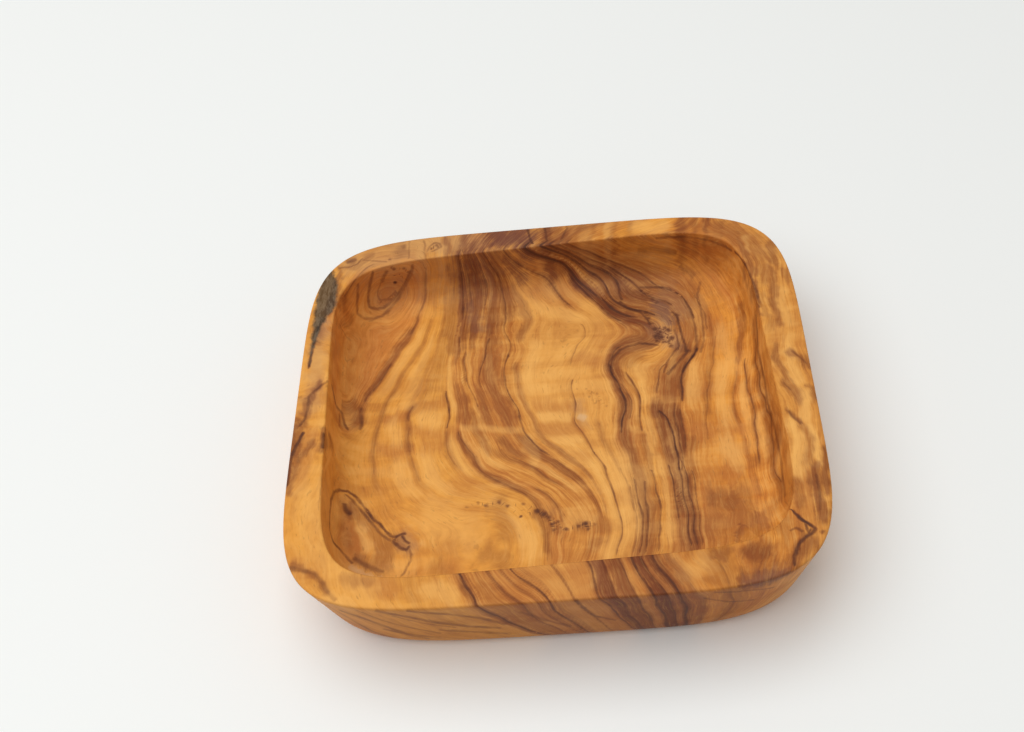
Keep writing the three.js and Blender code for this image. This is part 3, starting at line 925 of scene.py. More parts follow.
RIGHT_LINES = [
    (0.28, 0.52, [(24.3, 17), (24.1, 13), (24, 9)]),
    (0.30, 0.85, [(25, 3), (26.3, 1.2), (26.9, -3), (26.8, -8), (26.9, -11), (26.6, -14)]),
    (0.24, 0.48, [(28, 5), (28, 0), (27.9, -6), (28.2, -11)]),
    (0.28, 0.55, [(24.0, -13), (24.0, -19), (24.4, -27)]),
    (0.28, 0.60, [(26.6, -14), (26.6, -21), (26.9, -26), (27, -34)]),
    (0.26, 0.60, [(28.2, -12), (28.3, -19), (28.6, -24), (28.5, -34)]),
    (0.24, 0.50, [(30, -15), (30.1, -24), (30, -34)]),
    (0.34, 0.78, [(30.9, 21.5), (30.2, 18), (29.2, 15.5), (29.3, 12), (29.7, 9), (29.6, 6)]),
    (0.24, 0.42, [(29.3, 3), (28.9, -2), (29.3, -8)]),
    (0.22, 0.30, [(35.6, 25), (35.2, 17), (34.6, 10), (34.2, 2), (33.9, -6)]),
    (0.24, 0.48, [(43.3, 16), (43.8, 10), (44.6, 5), (44.9, 0), (44.9, -5), (44.4, -9), (44.1, -14)]),
    (0.28, 0.46, [(46.2, 19), (46.3, 14), (47.2, 8), (47.6, 2), (47.6, -6), (47.4, -14), (47.8, -22)]),
    (0.24, 0.25, [(41, 13), (41, 5), (41.5, -2)]), (0.24, 0.36, [(33, 40), (33.4, 34), (33.2, 28)]),
    (0.34, 0.62, [(24.2, 48.6), (24.2, 46), (23.6, 43), (22.4, 40)]),
    (0.30, 0.52, [(29.7, 48.6), (29.5, 46), (29, 44), (29.6, 38), (29.8, 32)]),
    (0.40, 0.75, [(15.2, 48.8), (15.7, 46), (18.2, 40), (17.4, 34)]),
    (0.38, 0.70, [(21.6, 48.8), (21.4, 46.5), (20.9, 41), (20.2, 34)]),
    (0.28, 0.50, [(27, 48.8), (26.6, 46), (26.4, 42), (25.8, 37)]),
    (0.26, 0.50, [(14.2, 46), (15, 40), (14.2, 33)]),
]
NEAR_LINES = [
    (0.34, 0.70, [(-20.8, -46), (-20.8, -57)]), (0.28, 0.35, [(-14, -46), (-14, -57)]),
    (0.30, 0.55, [(-6.8, -46), (-6.8, -57)]), (0.26, 0.22, [(4, -46), (4, -57)]),
    (0.32, 0.60, [(13.4, -45), (13.4, -57)]), (0.30, 0.42, [(16.6, -45), (16.8, -57)]),
    (0.30, 0.42, [(20.5, -45), (20.5, -57)]), (0.34, 0.66, [(24, -45), (24, -57)]),
    (0.28, 0.45, [(26.6, -46), (26.8, -57)]), (0.34, 0.72, [(29.5, -45), (29.5, -57)]),
    (0.28, 0.30, [(38, -47), (38, -57)]),
]
FINE_LINES = LEFT_LINES + MIDDLE_LINES + RIGHT_LINES + NEAR_LINES
print("Thin lines:", len(FINE_LINES))

# %% [markdown]
# The rim has no long straight grain to follow: it cuts the rings at a slant and passes knots. Its
# blotches are drawn in plan instead, with the same brush, as are the grey haze over the burl at the far
# right, partly the burl's own grey and partly painted sheen, and the stains round the knots on the left.

# %% Brown blotches in plan, as (half width, amount, points in mm)
FAR_RIM_BROWN = [
    (3.4, 0.90, [(-13.5, 52.6), (-5, 52.6)]), (1.4, 0.55, [(-20, 53), (-19.4, 48)]),
    (0.9, 0.45, [(-24.6, 53), (-24, 47.5)]), (1.8, 0.85, [(0, 54), (0.4, 48)]),
    (1.6, 0.50, [(2.4, 53), (2.6, 48.5)]), (0.9, 0.55, [(5.6, 53.5), (3.6, 49)]),
    (1.2, 0.35, [(9, 53), (7, 49)]), (0.6, 0.35, [(12, 53), (10.8, 49)]),
    (0.6, 0.30, [(17, 53), (16, 49.5)]), (0.7, 0.30, [(21, 53), (20, 49.5)]),
    (1.8, 0.55, [(33.5, 52.5), (33, 49)]), (1.2, 0.45, [(37, 52), (36.6, 48.5)]),
    (0.9, 0.60, [(39.6, 51.5), (39.2, 47.5)]), (1.6, 0.50, [(43, 50), (43, 46.5)]),
    (2.6, 0.36, [(42, 48.5), (48, 44), (52, 38)]), (1.2, 0.50, [(-48.8, 48), (-47.8, 47.8)]),
    (0.8, 0.35, [(-51, 45.5), (-46.5, 46.4), (-43, 50)]), (1.3, 0.45, [(-36.4, 50.4), (-35.4, 50)]),
]
RIGHT_RIM_BROWN = [
    (1.1, 0.55, [(46.6, 46), (47.2, 40), (48.3, 33)]), (0.7, 0.60, [(48.6, 30), (48.8, 19)]),
    (1.5, 0.38, [(50.2, 42), (50.6, 30)]), (0.9, 0.50, [(52.4, 33), (52.4, 22), (52, 15)]),
    (1.3, 0.60, [(54.2, 42), (54.4, 35)]), (0.9, 0.40, [(55.4, 32), (56, 30)]),
    (0.7, 0.35, [(50.2, 25), (50, 14)]), (0.7, 0.50, [(50.8, 9), (50.6, 5), (51.3, 1), (52.2, -2)]),
    (1.0, 0.62, [(54, 6.5), (55.6, 4.4), (57, 2)]), (0.9, 0.55, [(51.2, -2), (52.4, -4.6), (53.2, -8)]),
    (0.9, 0.55, [(55.6, -4.6), (57, -7.5)]), (0.7, 0.60, [(51, -10), (51.6, -12), (53.2, -14)]),
    (1.1, 0.40, [(53.4, -15), (53.8, -19), (53, -24)]), (1.5, 0.72, [(54.2, -27), (54.6, -39)]),
    (0.9, 0.70, [(56.7, -22), (56.4, -32)]), (1.0, 0.35, [(50.6, -29), (50.2, -35)]),
]
NEAR_RIM_BROWN = [
    (1.5, 0.60, [(32, -45.5), (34, -45.8)]), (2.2, 0.75, [(36, -53), (45, -51)]),
    (1.5, 0.70, [(45, -50.5), (51, -44.5)]), (2.4, 0.32, [(44, -36), (46, -42)]),
    (1.8, 0.70, [(39, -46), (42, -46)]), (1.0, 0.55, [(49.4, -43.8), (48, -46), (47.2, -48.5)]),
    (1.3, 0.45, [(42.5, -49), (44.5, -50)]), (1.2, 0.40, [(30, -52.5), (37, -53)]),
    (0.9, 0.30, [(-43, -46.5), (-37, -47.5)]), (2.0, 0.28, [(-26, -36), (-24, -40)]),
]
LEFT_RIM_BROWN = [
    (1.4, 0.85, [(-56.8, -4), (-57, -10), (-57, -21)]), (0.8, 0.62, [(-50.7, -6), (-50.6, -12)]),
    (0.8, 0.60, [(-52.6, 7.4), (-54.2, 5.4), (-55, 3)]),
    (0.8, 0.55, [(-54.8, 2), (-54.8, -4), (-55.8, -8)]),
    (0.8, 0.55, [(-53, -10), (-54.6, -14), (-55.8, -18), (-56.2, -23)]),
    (0.9, 0.40, [(-53.4, 28), (-53.6, 21)]), (1.0, 0.60, [(-51.4, 45), (-50.6, 36), (-52, 30)]),
    (0.6, 0.50, [(-54, -42), (-50.6, -43.3), (-48.6, -45.5), (-46.8, -49)]),
]
KNOT_BROWN = [
    (1.6, 0.30, [(-47.6, -19), (-47.4, -24), (-46, -29)]),
    (1.6, 0.45, [(-44, -20), (-41, -24), (-38.6, -27.4)]), (1.3, 0.50, [(-43.4, -33), (-39, -35)]),
    (2.2, 0.52, [(-38, -33), (-37, -29.4)]), (1.2, 0.60, [(-46, -18.4), (-45.4, -21)]),
    (1.4, 0.42, [(-35, -28), (-33, -30)]), (1.4, 0.40, [(-46, 8.5), (-45.4, 5)]),
    (1.3, 0.55, [(-4.6, -22.8), (-2.2, -24.4)]), (1.2, 0.40, [(-2, -26.5), (0, -27.6)]),
    (1.0, 0.40, [(4.4, -27.6), (6.4, -27.6)]), (3.2, 0.78, [(16, 44), (19.5, 41.5), (23, 38)]),
    (3.0, 0.42, [(20, 45), (26, 43.5), (31, 41)]), (2.8, 0.60, [(-13.5, 45), (-11, 40)]),
    (1.0, 0.45, [(31, 21.6), (32.4, 20.8)]), (2.0, 0.35, [(-13, -20), (-11, -28)]),
    (2.0, 0.40, [(16.5, 19.5), (20.5, 20.5)]), (2.2, 0.50, [(-25, 41), (-25, 28)]),
    (2.4, 0.72, [(38.5, -31.5), (42.5, -29.5)]), (1.6, 0.55, [(34.5, -23), (38, -22.8)]),
    (2.0, 0.60, [(21, 39), (23.5, 37)]), (2.0, 0.40, [(-15, -33), (-12, -35)]),
    (1.5, 0.40, [(27, -40), (27, -44)]),
]
PLAN_BROWN = FAR_RIM_BROWN + RIGHT_RIM_BROWN + NEAR_RIM_BROWN + LEFT_RIM_BROWN + KNOT_BROWN
print("Brown blotches:", len(PLAN_BROWN))

# %% Ruddy, pale and hazy blotches in plan; the hazy ones are partly painted sheen
PLAN_RUDDY = [
    (2.0, 0.40, [(-1.5, 51), (3, 51)]), (2.5, 0.40, [(37, -46), (43, -47)]),
    (1.6, 0.35, [(-40, -46.5), (-33, -49)]), (3.0, 0.50, [(34, 50.5), (46, 45), (49, 38)]),
    (1.8, 0.45, [(-46, -24), (-44, -30)]), (1.6, 0.50, [(-52.5, 8), (-55, 5)]),
    (2.2, 0.50, [(-53.5, -8), (-55.3, -20)]), (1.3, 0.45, [(-55.4, -1), (-56.2, -8)]),
    (1.3, 0.45, [(-54, -42.3), (-49, -44.3)]), (2.8, 0.50, [(-24, 51), (-8, 51)]),
    (2.4, 0.40, [(15, 24), (20, 34)]), (3.0, 0.62, [(39, -4), (38.5, -15), (38, -27)]),
    (3.0, 0.40, [(52, -30), (50, -38)]), (3.5, 0.55, [(-2, 46), (4, 41)]),
    (2.6, 0.55, [(38, 31), (40, 24)]), (1.6, 0.45, [(27.5, -27), (28, -33)]),
    (2.4, 0.55, [(33, -22), (32, -30)]), (1.5, 0.35, [(-3, -6), (-3, -10)]),
    (2.0, 0.35, [(-23, -36), (-22, -41)]), (3.0, 0.40, [(25, -47), (26, -53)]),
    (1.6, 0.35, [(-17, 4), (-15, 0)]),
]
PLAN_PALE = [
    (1.6, 0.45, [(-22, 52), (-21.5, 49)]), (1.5, 0.42, [(26, 34), (27.5, 31.5)]),
    (2.0, 0.35, [(-36, 51.5), (-27, 52.5)]), (1.3, 0.60, [(-43, -24.5), (-41.4, -29)]),
    (2.4, 0.40, [(-53, -24), (-51, -30)]), (1.5, 0.35, [(-53.4, 17), (-53.8, 13)]),
    (2.0, 0.45, [(-46, -51), (-40, -52)]), (1.6, 0.45, [(-25, -50), (-21, -52)]),
    (1.4, 0.40, [(-32, 52), (-30.8, 48)]), (1.2, 0.40, [(-26.4, 53), (-25.8, 48)]),
    (2.0, 0.45, [(22, 51.5), (29, 51)]), (1.1, 0.42, [(15.6, 53), (14.6, 49)]),
    (1.4, 0.50, [(53.4, 10), (54, -1.5)]), (1.4, 0.60, [(54.6, -7.4), (55, -11)]),
    (1.5, 0.60, [(50.8, -15), (51.4, -26)]), (1.0, 0.60, [(55, -15), (55.2, -26)]),
    (1.4, 0.40, [(54, 26), (54, 16)]), (0.7, 0.45, [(48.2, 44.5), (48.4, 40)]),
    (2.0, 0.38, [(26, -50), (30, -48)]), (1.0, 0.45, [(-29.8, -29), (-29.4, -30)]),
    (1.2, 0.40, [(-48.6, 5), (-48, 8)]), (2.0, 0.35, [(36, 36), (35.6, 30)]),
    (1.8, 0.55, [(18.4, -15), (17.8, -26)]), (1.0, 0.50, [(26, -5), (26, -9)]),
    (1.3, 0.65, [(27, -14), (27, -19)]), (4.0, 0.36, [(-28, -22), (-20, -27)]),
    (2.5, 0.50, [(14.5, -12), (15, -26)]), (3.0, 0.32, [(-51, -28), (-47.5, -40), (-38, -50)]),
    (1.2, 0.40, [(28.4, 20), (27.4, 15)]), (1.5, 0.45, [(-6, -3), (-5, -8)]),
    (1.8, 0.35, [(10, 49), (11, 44)]), (2.0, 0.30, [(-1, 46.5), (1, 43)]),
    (2.0, 0.35, [(-50, -22), (-50, -28)]), (1.5, 0.30, [(-45, -36), (-32, -36.5)]),
    (1.2, 0.35, [(22, -4), (21.6, -9)]), (1.2, 0.30, [(-15.5, 23), (-14.5, 17)]),
    (2.0, 0.30, [(-33, 18), (-34, 11)]), (1.2, 0.40, [(7.6, -45), (8.2, -50)]),
    (1.4, 0.35, [(2.5, -25.5), (8, -25.5)]),
]
# Grey haze over the burl, the far rim and a few other places: partly the wood's own grey, partly painted
# sheen
PLAN_HAZE_AND_SHEEN = [
    (2.3, 0.72, [(26, 36.4), (27.8, 35), (27.6, 32)]), (2.6, 0.50, [(26, 28.5), (28.6, 25.5)]),
    (1.6, 0.30, [(6, 6), (6.5, 2)]), (1.8, 0.35, [(-34, -28), (-32, -30)]),
    (1.8, 0.50, [(-53, 27), (-53.6, 22)]), (2.4, 0.32, [(-54, 20), (-54, 2)]),
    (1.6, 0.50, [(38, -53.4), (45, -51.6)]), (1.6, 0.35, [(-20, 40), (-18, 34)]),
    (2.4, 0.50, [(-13, 52), (-5, 51)]), (3.6, 0.40, [(-48, 47), (-38, 50), (-26, 51), (-16, 51)]),
    (2.6, 0.35, [(29, 40), (32, 35)]),
]
print("Ruddy, pale and hazy blotches:", len(PLAN_RUDDY), len(PLAN_PALE), len(PLAN_HAZE_AND_SHEEN))

# %% A brush for strokes
FAR_OUT = -3.0
GRAIN_STRETCH = np.array((1.0, 0.45))  # below 1, the ends of a stroke are drawn out along y
PLAN_STRETCH = np.array((1.0, 0.65))


def path_distance(flat, path):
    """How far each flat point lies from a path."""
    corners = np.array(path, float)
    near = np.full(len(flat), 1e9)
    for start, end in zip(corners[:-1], corners[1:]):
        along = end - start
        share = np.clip((flat - start) @ along / (along @ along), 0, 1)
        near = np.minimum(near, np.linalg.norm(flat - start - share[:, None] * along, axis=1))
    return near


def brushed(flat, strokes):
    """Each flat point's reach into the nearest stroke (1 in its middle, 0 at its edge), and its amount."""
    reach = np.full(len(flat), FAR_OUT)
    amount = np.zeros(len(flat))
    for half, strength, path in strokes:
        inside = 1 - path_distance(flat, path) / half
        amount = np.where(inside > reach, strength, amount)
        reach = np.maximum(reach, inside)
    return reach, amount


def stretched_brush(flat, strokes, stretch):
    """The brush on flat points, with strokes and points stretched alike."""
    stretched = [(half, amount, np.array(path) * stretch) for half, amount, path in strokes]
    return brushed(flat * stretch, stretched)


def both_brushed(by_grain, in_plan, grain_strokes, plan_strokes, fade):
    """Strokes by the grain and strokes in plan together, the latter faded by an amount at each point."""
    grain_reach, grain_amount = stretched_brush(by_grain, grain_strokes, GRAIN_STRETCH)
    plan_reach, plan_amount = stretched_brush(in_plan, plan_strokes, PLAN_STRETCH)
    plan_reach -= fade
    return np.maximum(grain_reach, plan_reach), np.where(plan_reach > grain_reach, plan_amount, grain_amount)


# %% Lay out the points by grain and in plan
RING_WAVES = ((0.08, 0.9), (0.21, 0.6))  # as (waves per mm, amount)
EDGE_WAVES = ((0.20, 1.2), (0.55, 0.6))
EDGE_SHIFTS = (100, 200)  # mm between the waves in x and those in y
FACING_DOWN = -0.5
FACING_OUT = 1.0
OUTER_FADE = (0.50, 0.08, 0.50)  # for each mm below the rim, by the way that a wall faces
SIDE_RIM = 49.5
ASIDE = 200.0  # mm that take a point out of every stroke's reach


def wavering(points, waves):
    """A smooth wavering for each point."""
    total = np.zeros(len(points))
    for fineness, amount in waves:
        total += [amount * soft_noise.noise(Vector(point) * fineness) for point in points]
    return total


rings = ring_field.at(skin_points) + wavering(skin_points, RING_WAVES)
ragged = np.column_stack([wavering(skin_points + shift, EDGE_WAVES) for shift in EDGE_SHIFTS])
in_plan = skin_points[:, :2] + ragged
on_side_rims = np.clip(np.abs(skin_points[:, 0]) - SIDE_RIM, 0, 1)
by_grain = np.column_stack([rings, skin_points[:, 1] + ASIDE * on_side_rims])
depth = HEIGHT / MM - skin_points[:, 2]
underside = skin_normals[:, 2] < FACING_DOWN
turned_out = np.einsum("ij,ij->i", skin_normals[:, :2], skin_points[:, :2]) > FACING_OUT
outward = underside | turned_out
fade = depth * np.where(outward, np.abs(skin_normals) @ OUTER_FADE, 0)
keep_number(dish, "ring", rings)

# %% Brush the tones onto the points
brush_sets = {
    "brown": (GRAIN_BROWN, PLAN_BROWN), "ruddy": (GRAIN_RUDDY, PLAN_RUDDY),
    "pale": (GRAIN_PALE, PLAN_PALE), "hazy": ([], PLAN_HAZE_AND_SHEEN),
}
for name, (grain_strokes, plan_strokes) in brush_sets.items():
    reach, amount = both_brushed(by_grain, in_plan, grain_strokes, plan_strokes, fade)
    keep_number(dish, name + "_reach", reach)
    keep_number(dish, name + "_amount", amount)

# %% [markdown]
# ## Knots, cracks and bark
# Where branches left the trunk, the wood has knots: loops of dark line round an eye, a torn pocket, rows
# of small dark pips, and on the rim a wedge of bark and a forked crack. Painting them as masks on the
# points would blur them, because the points lie half a millimetre apart. A distance stays sharp: each
# point keeps how far it is to the left or right of the nearest pen stroke, and the material draws the
# line where that number passes zero.

# %% Pen strokes of the knots and a painted sheen, as (width, darkness, points in mm); without a height, on the rim or the floor
KNOT_EYE = [
    (0.50, 0.44, [(-46.5, 41.5, 20), (-47.4, 40, 16), (-47.6, 38.2, 13.4), (-46.4, 38, 11.7),
                  (-44.6, 38.5, 10.6), (-42.2, 39.7, 10.2), (-40.2, 41.7, 10.7), (-38, 43.7, 12),
                  (-36, 45, 14.6), (-34, 45.8, 17.6), (-33, 46, 20.6)]),
    (0.46, 0.50, [(-42.7, 44, 21.3), (-44.5, 42.6, 16.7), (-45, 41.6, 14.3), (-45, 40.8, 12.6),
                  (-43.5, 41, 11.6), (-41.6, 41.5, 11.2), (-39.6, 43, 11.7), (-37.4, 44.5, 13.4),
                  (-35.5, 45.5, 16), (-33.7, 46, 19)]),
    (0.60, 0.45, [(-39.5, 45, 20.3), (-40.5, 44.6, 18.8), (-41.2, 44.2, 17.5)]),
    (0.28, 0.35, [(-41.4, 44.2, 17.4), (-42.8, 43, 14.6), (-42.4, 42.4, 13), (-40.6, 43.2, 12.4),
                  (-38.6, 44.4, 13.6)]),
]
TONGUE_TIP = [
    (0.60, 0.48, [(-50.6, 9.8, 19), (-50, 6.8, 15.4), (-49.3, 6.7, 12.5), (-48.5, 4, 11.5),
                  (-48, 3, 10.8)]),
    (0.55, 0.48, [(-45.6, 10.5), (-45.4, 7.4), (-45, 5.3), (-45.4, 4)]),
    (0.40, 0.30, [(-50.6, 30.4, 17.6), (-49.2, 30.5, 12)]),
]
# The torn knot's lines, and one pale stroke of painted sheen on the cove below it
TORN_KNOT_AND_COVE_SHEEN = [
    (0.42, 0.65, [(-49, -17.3, 13.7), (-48, -15.4, 12), (-46.6, -14.7, 10.3), (-45, -15.6),
                  (-43.7, -17.4), (-42.2, -19.6), (-40.8, -21.9), (-39, -23.6), (-37.7, -25.4),
                  (-36.5, -26.8), (-35.4, -27.2), (-34.3, -26.5), (-33.4, -26.5)]),
    (0.38, 0.50, [(-36.4, -28), (-38.3, -26.7), (-40, -24.4), (-42, -21.5), (-44, -18.8), (-45.7, -16.7),
                  (-47, -15.9, 10.6)]),
    (0.50, 0.52, [(-49, -17.3, 13.7), (-49, -20.5, 15), (-48.8, -24.8, 15.4), (-48.5, -28.8, 15.4),
                  (-48, -30.7, 14), (-46.8, -31.4, 11.8), (-45.6, -32.6, 10.8), (-44.3, -34, 10.3)]),
    (0.70, 0.45, [(-44, -32.6), (-41.7, -34.2), (-39.4, -35.4), (-37.7, -36)]),
    (0.80, 0.75, [(-47, -18.6, 10.8), (-46.6, -20, 10.5), (-45.8, -20.8, 10)]),
    (0.45, 0.75, [(-36, -28.2), (-34.8, -29.6), (-33.7, -30.5), (-32.8, -30.8), (-32.4, -30)]),
    (0.40, 0.65, [(-34, -27), (-33.3, -28.4), (-32.4, -29)]),
    (0.35, 0.42, [(-32.4, -30), (-31.8, -32.2), (-31.8, -33.7), (-32.6, -35.2), (-33, -36.7),
                  (-34, -37.7)]),
    # Painted sheen: a pale streak along the cove below the knot, drawn pale by its negative darkness
    (1.00, -0.45, [(-44.3, -35.2, 11), (-42.6, -36.2, 10.3), (-40.4, -37.4, 9.8), (-38.2, -38.2, 9.6)]),
]
WORN_SPOT = [
    (1.00, -0.60, [(5.6, 3.3), (6.8, 2.5)]),
]
FORKED_CRACK = [
    (0.42, 1.00, [(47.9, -35.6), (48.7, -37.4), (49.7, -38.9), (50.7, -40), (51.6, -40.8), (52.2, -41.5)]),
    (0.34, 0.65, [(50.4, -39.8), (50.5, -41), (50.7, -42.2)]),
    (0.50, 0.80, [(52.2, -41.5), (51.4, -42.5), (50, -43.4)]),
    (0.46, 0.75, [(50, -43.4), (48.7, -44.5), (48, -45.8), (47.2, -47.9), (46.9, -49.8)]),
    (0.38, 0.55, [(47.4, -41.5), (48.4, -41), (49.5, -41.9)]),
]
RIM_EYES = [
    (0.32, 0.42, [(-51, 45.7), (-48.4, 45.8), (-46.7, 46.6), (-45.6, 48.3)]),
    (0.70, 0.45, [(-49.2, 47.5), (-47.2, 48.2)]),
    (0.30, 0.32, [(-45.4, 47.9), (-43, 47.3), (-39.5, 46.6)]), (0.30, 0.30, [(-34, 53.3), (-33.8, 47.2)]),
    (0.34, 0.34, [(-30.4, 53), (-29.9, 51.4), (-30.1, 49.4), (-29.6, 46.8)]),
    (0.34, 0.40, [(-29.3, 49.2), (-28.8, 50.8), (-27.6, 52), (-26.4, 51.6), (-25.9, 50.4), (-26.8, 49.6),
                  (-28.2, 48.9)]),
]
BURL_LINES = [
    (0.40, 0.45, [(22, 43.3), (25.8, 43), (29, 42.4), (31.7, 39.8), (33, 37.3), (33.9, 33.8),
                  (34.4, 29.3), (34.4, 26), (34.3, 22.8), (33.4, 19.9), (31.7, 16.9), (30.1, 14.5)]),
    (0.42, 0.60, [(29.3, 34.3), (30.4, 32.8), (30.6, 29.8), (30.9, 27.1), (31.4, 24), (31.7, 21.2)]),
    (0.32, 0.45, [(29.5, 28.2), (29.8, 25.5), (30.1, 22.9), (28.7, 21.1), (26.9, 18.1), (25.9, 15)]),
    (0.42, 0.60, [(16.9, 39.1), (18.8, 36.8), (21.6, 35.2), (22.9, 33), (23.7, 30.8)]),
    (0.36, 0.40, [(36.9, 42.7, 10.1), (35.8, 39.3), (36.3, 34.2), (36.3, 29.1), (36.1, 24.2), (35, 20.4)]),
    (0.42, 0.55, [(25.2, 23.7), (20.9, 24.8), (18.5, 24.1), (16.1, 23.1), (14.5, 20.9), (13.7, 18.1),
                  (14, 15.6)]),
    (0.42, 0.55, [(32, 21), (30.5, 19), (28.1, 16), (26.8, 14.2)]),
]
KNOT_LINES = KNOT_EYE + TONGUE_TIP + TORN_KNOT_AND_COVE_SHEEN + WORN_SPOT + FORKED_CRACK + RIM_EYES + BURL_LINES
print("Pen strokes of the knots:", len(KNOT_LINES))

# %% Pen strokes on the rim and the walls, and a painted shadow line under the far rim
LEFT_RIM_LINES = [
    (0.40, 0.75, [(-54.6, 26), (-55.2, 20), (-55.5, 16), (-55.7, 13)]),
    (0.40, 0.52, [(-50.8, 8.4), (-52.8, 6.4), (-54.8, 4.2), (-54.6, 0.6), (-55, -2.4), (-56, -4.6)]),
    (0.50, 0.80, [(-55, -6.6), (-55.6, -8.4), (-56.2, -10.2), (-57, -13)]),
    (0.40, 0.60, [(-57, -13), (-57.2, -17), (-57.1, -21)]), (0.55, 0.62, [(-50.4, -7.2), (-50.2, -11.2)]),
    (0.60, 0.36, [(-54.2, -42.6), (-51.2, -43.6), (-49, -44.2), (-47.2, -46.6), (-45.4, -49.6),
                  (-44.2, -51)]),
]
RIGHT_RIM_LINES = [
    (0.45, 0.58, [(45.2, 40.9, 21), (46.9, 35.6, 21.6), (47.9, 30, 21.9), (48.6, 25.9), (48.7, 21)]),
    (0.65, 0.44, [(48.3, 22, 18.4), (47.9, 18.5, 15.5), (47.7, 15.2, 13.8), (48, 5.8, 14),
                  (48, 0.5, 13.1), (48.5, -9, 13.9), (48.7, -15.8, 13.8), (48.6, -22, 12.9),
                  (48.5, -26.2, 13)]),
    (0.32, 0.38, [(54, 6.8), (55.4, 4.8), (56.6, 2.8)]),
    (0.32, 0.38, [(51, -10.5), (51.6, -12.2), (53.2, -14.2)]), (0.30, 0.32, [(51, -2.4), (52.2, -4.6)]),
    (0.32, 0.38, [(54.2, -28), (54.4, -33), (53.8, -37)]),
]
NEAR_WALL_LINES = [
    (0.75, 0.42, [(-44, -50.9, 18), (-40.2, -51.5, 16), (-36, -51.3, 11.8), (-32, -50.7, 7.2),
                  (-28, -50.2, 4.5)]),
    (0.75, 0.45, [(-35.8, -53.7, 21.2), (-30, -53.4, 17.8), (-24.2, -52.7, 13.8), (-18.5, -52.3, 11.2),
                  (-12.5, -51.9, 9.2)]),
    (0.65, 0.42, [(-29.5, -54.2, 21.2), (-27.2, -54.1, 20.2), (-21.5, -53.8, 18.5), (-15.8, -53.2, 15.5),
                  (-11.2, -52.3, 11.2)]),
    (0.70, 0.40, [(-42.8, -49.5, 12), (-39.8, -48.9, 6.2), (-36, -49.1, 3.5)]),
    (0.70, 0.40, [(-36.5, -50.6, 9.5), (-31.5, -50.8, 7.2), (-25.5, -50.7, 5)]),
    (0.65, 0.38, [(-24.8, -51.8, 9.8), (-17.8, -51.5, 7.8), (-10.8, -51.1, 5.5)]),
    (0.60, 0.35, [(-7.5, -53.7, 17.5), (-3, -52.5, 12.2), (1.8, -51.6, 7.8)]),
    (0.40, 0.30, [(-40, -52.8, 20.6), (-36, -52.4, 15.6), (-31, -51.8, 11.6), (-25, -51.3, 8)]),
    (0.40, 0.28, [(-46.5, -49.6, 18.6), (-43.6, -49.4, 14), (-40.4, -49.2, 9)]),
    (0.36, 0.28, [(-33, -53.2, 18.4), (-27.5, -52.6, 14), (-21.5, -52, 11)]),
    (0.45, 0.50, [(4.1, -54.4, 21.5), (4.9, -53.9, 18.6), (7.1, -52.6, 12.7), (11, -52, 9.7)]),
    (0.40, 0.40, [(29, -53.5, 18), (34, -52.5, 14), (39, -51, 12)]),
    (0.45, 0.42, [(31, -54, 20.5), (38, -52.8, 18.5), (43, -50.8, 16)]),
]
# Two brown blotches on the far wall, and a painted shadow line along its top
FAR_WALL_BLOTCHES_AND_SHADE_LINE = [
    (1.20, 0.36, [(22.5, 48, 17.4), (27, 48.1, 17), (31.5, 48, 15.8)]),
    (0.80, 0.34, [(32.4, 46.6, 12.2), (35.4, 44.4, 10.6)]),
    # Painted shadow: a dark line just under the rim along the far wall and round the far-right corner
    (0.45, 0.42, [(27, 48.4, 20.6), (33, 48.2, 20.8), (37.5, 47.4, 20.4), (41.6, 45.2, 20.2),
                  (44.4, 41.9, 20.5)]),
]
FAR_RIM_LINES = [
    (0.36, 0.70, [(-4.4, 54), (-3.9, 50.5), (-3.3, 48.8)]), (0.36, 0.50, [(-0.2, 54), (0.3, 49.5)]),
    (0.30, 0.40, [(5.4, 53.4), (3.8, 49.4)]),
]
RIM_LINES = LEFT_RIM_LINES + RIGHT_RIM_LINES + FAR_RIM_LINES + FAR_WALL_BLOTCHES_AND_SHADE_LINE + NEAR_WALL_LINES
PEN_STROKES = KNOT_LINES + RIM_LINES
print("Pen strokes on the rim and the walls:", len(RIM_LINES))

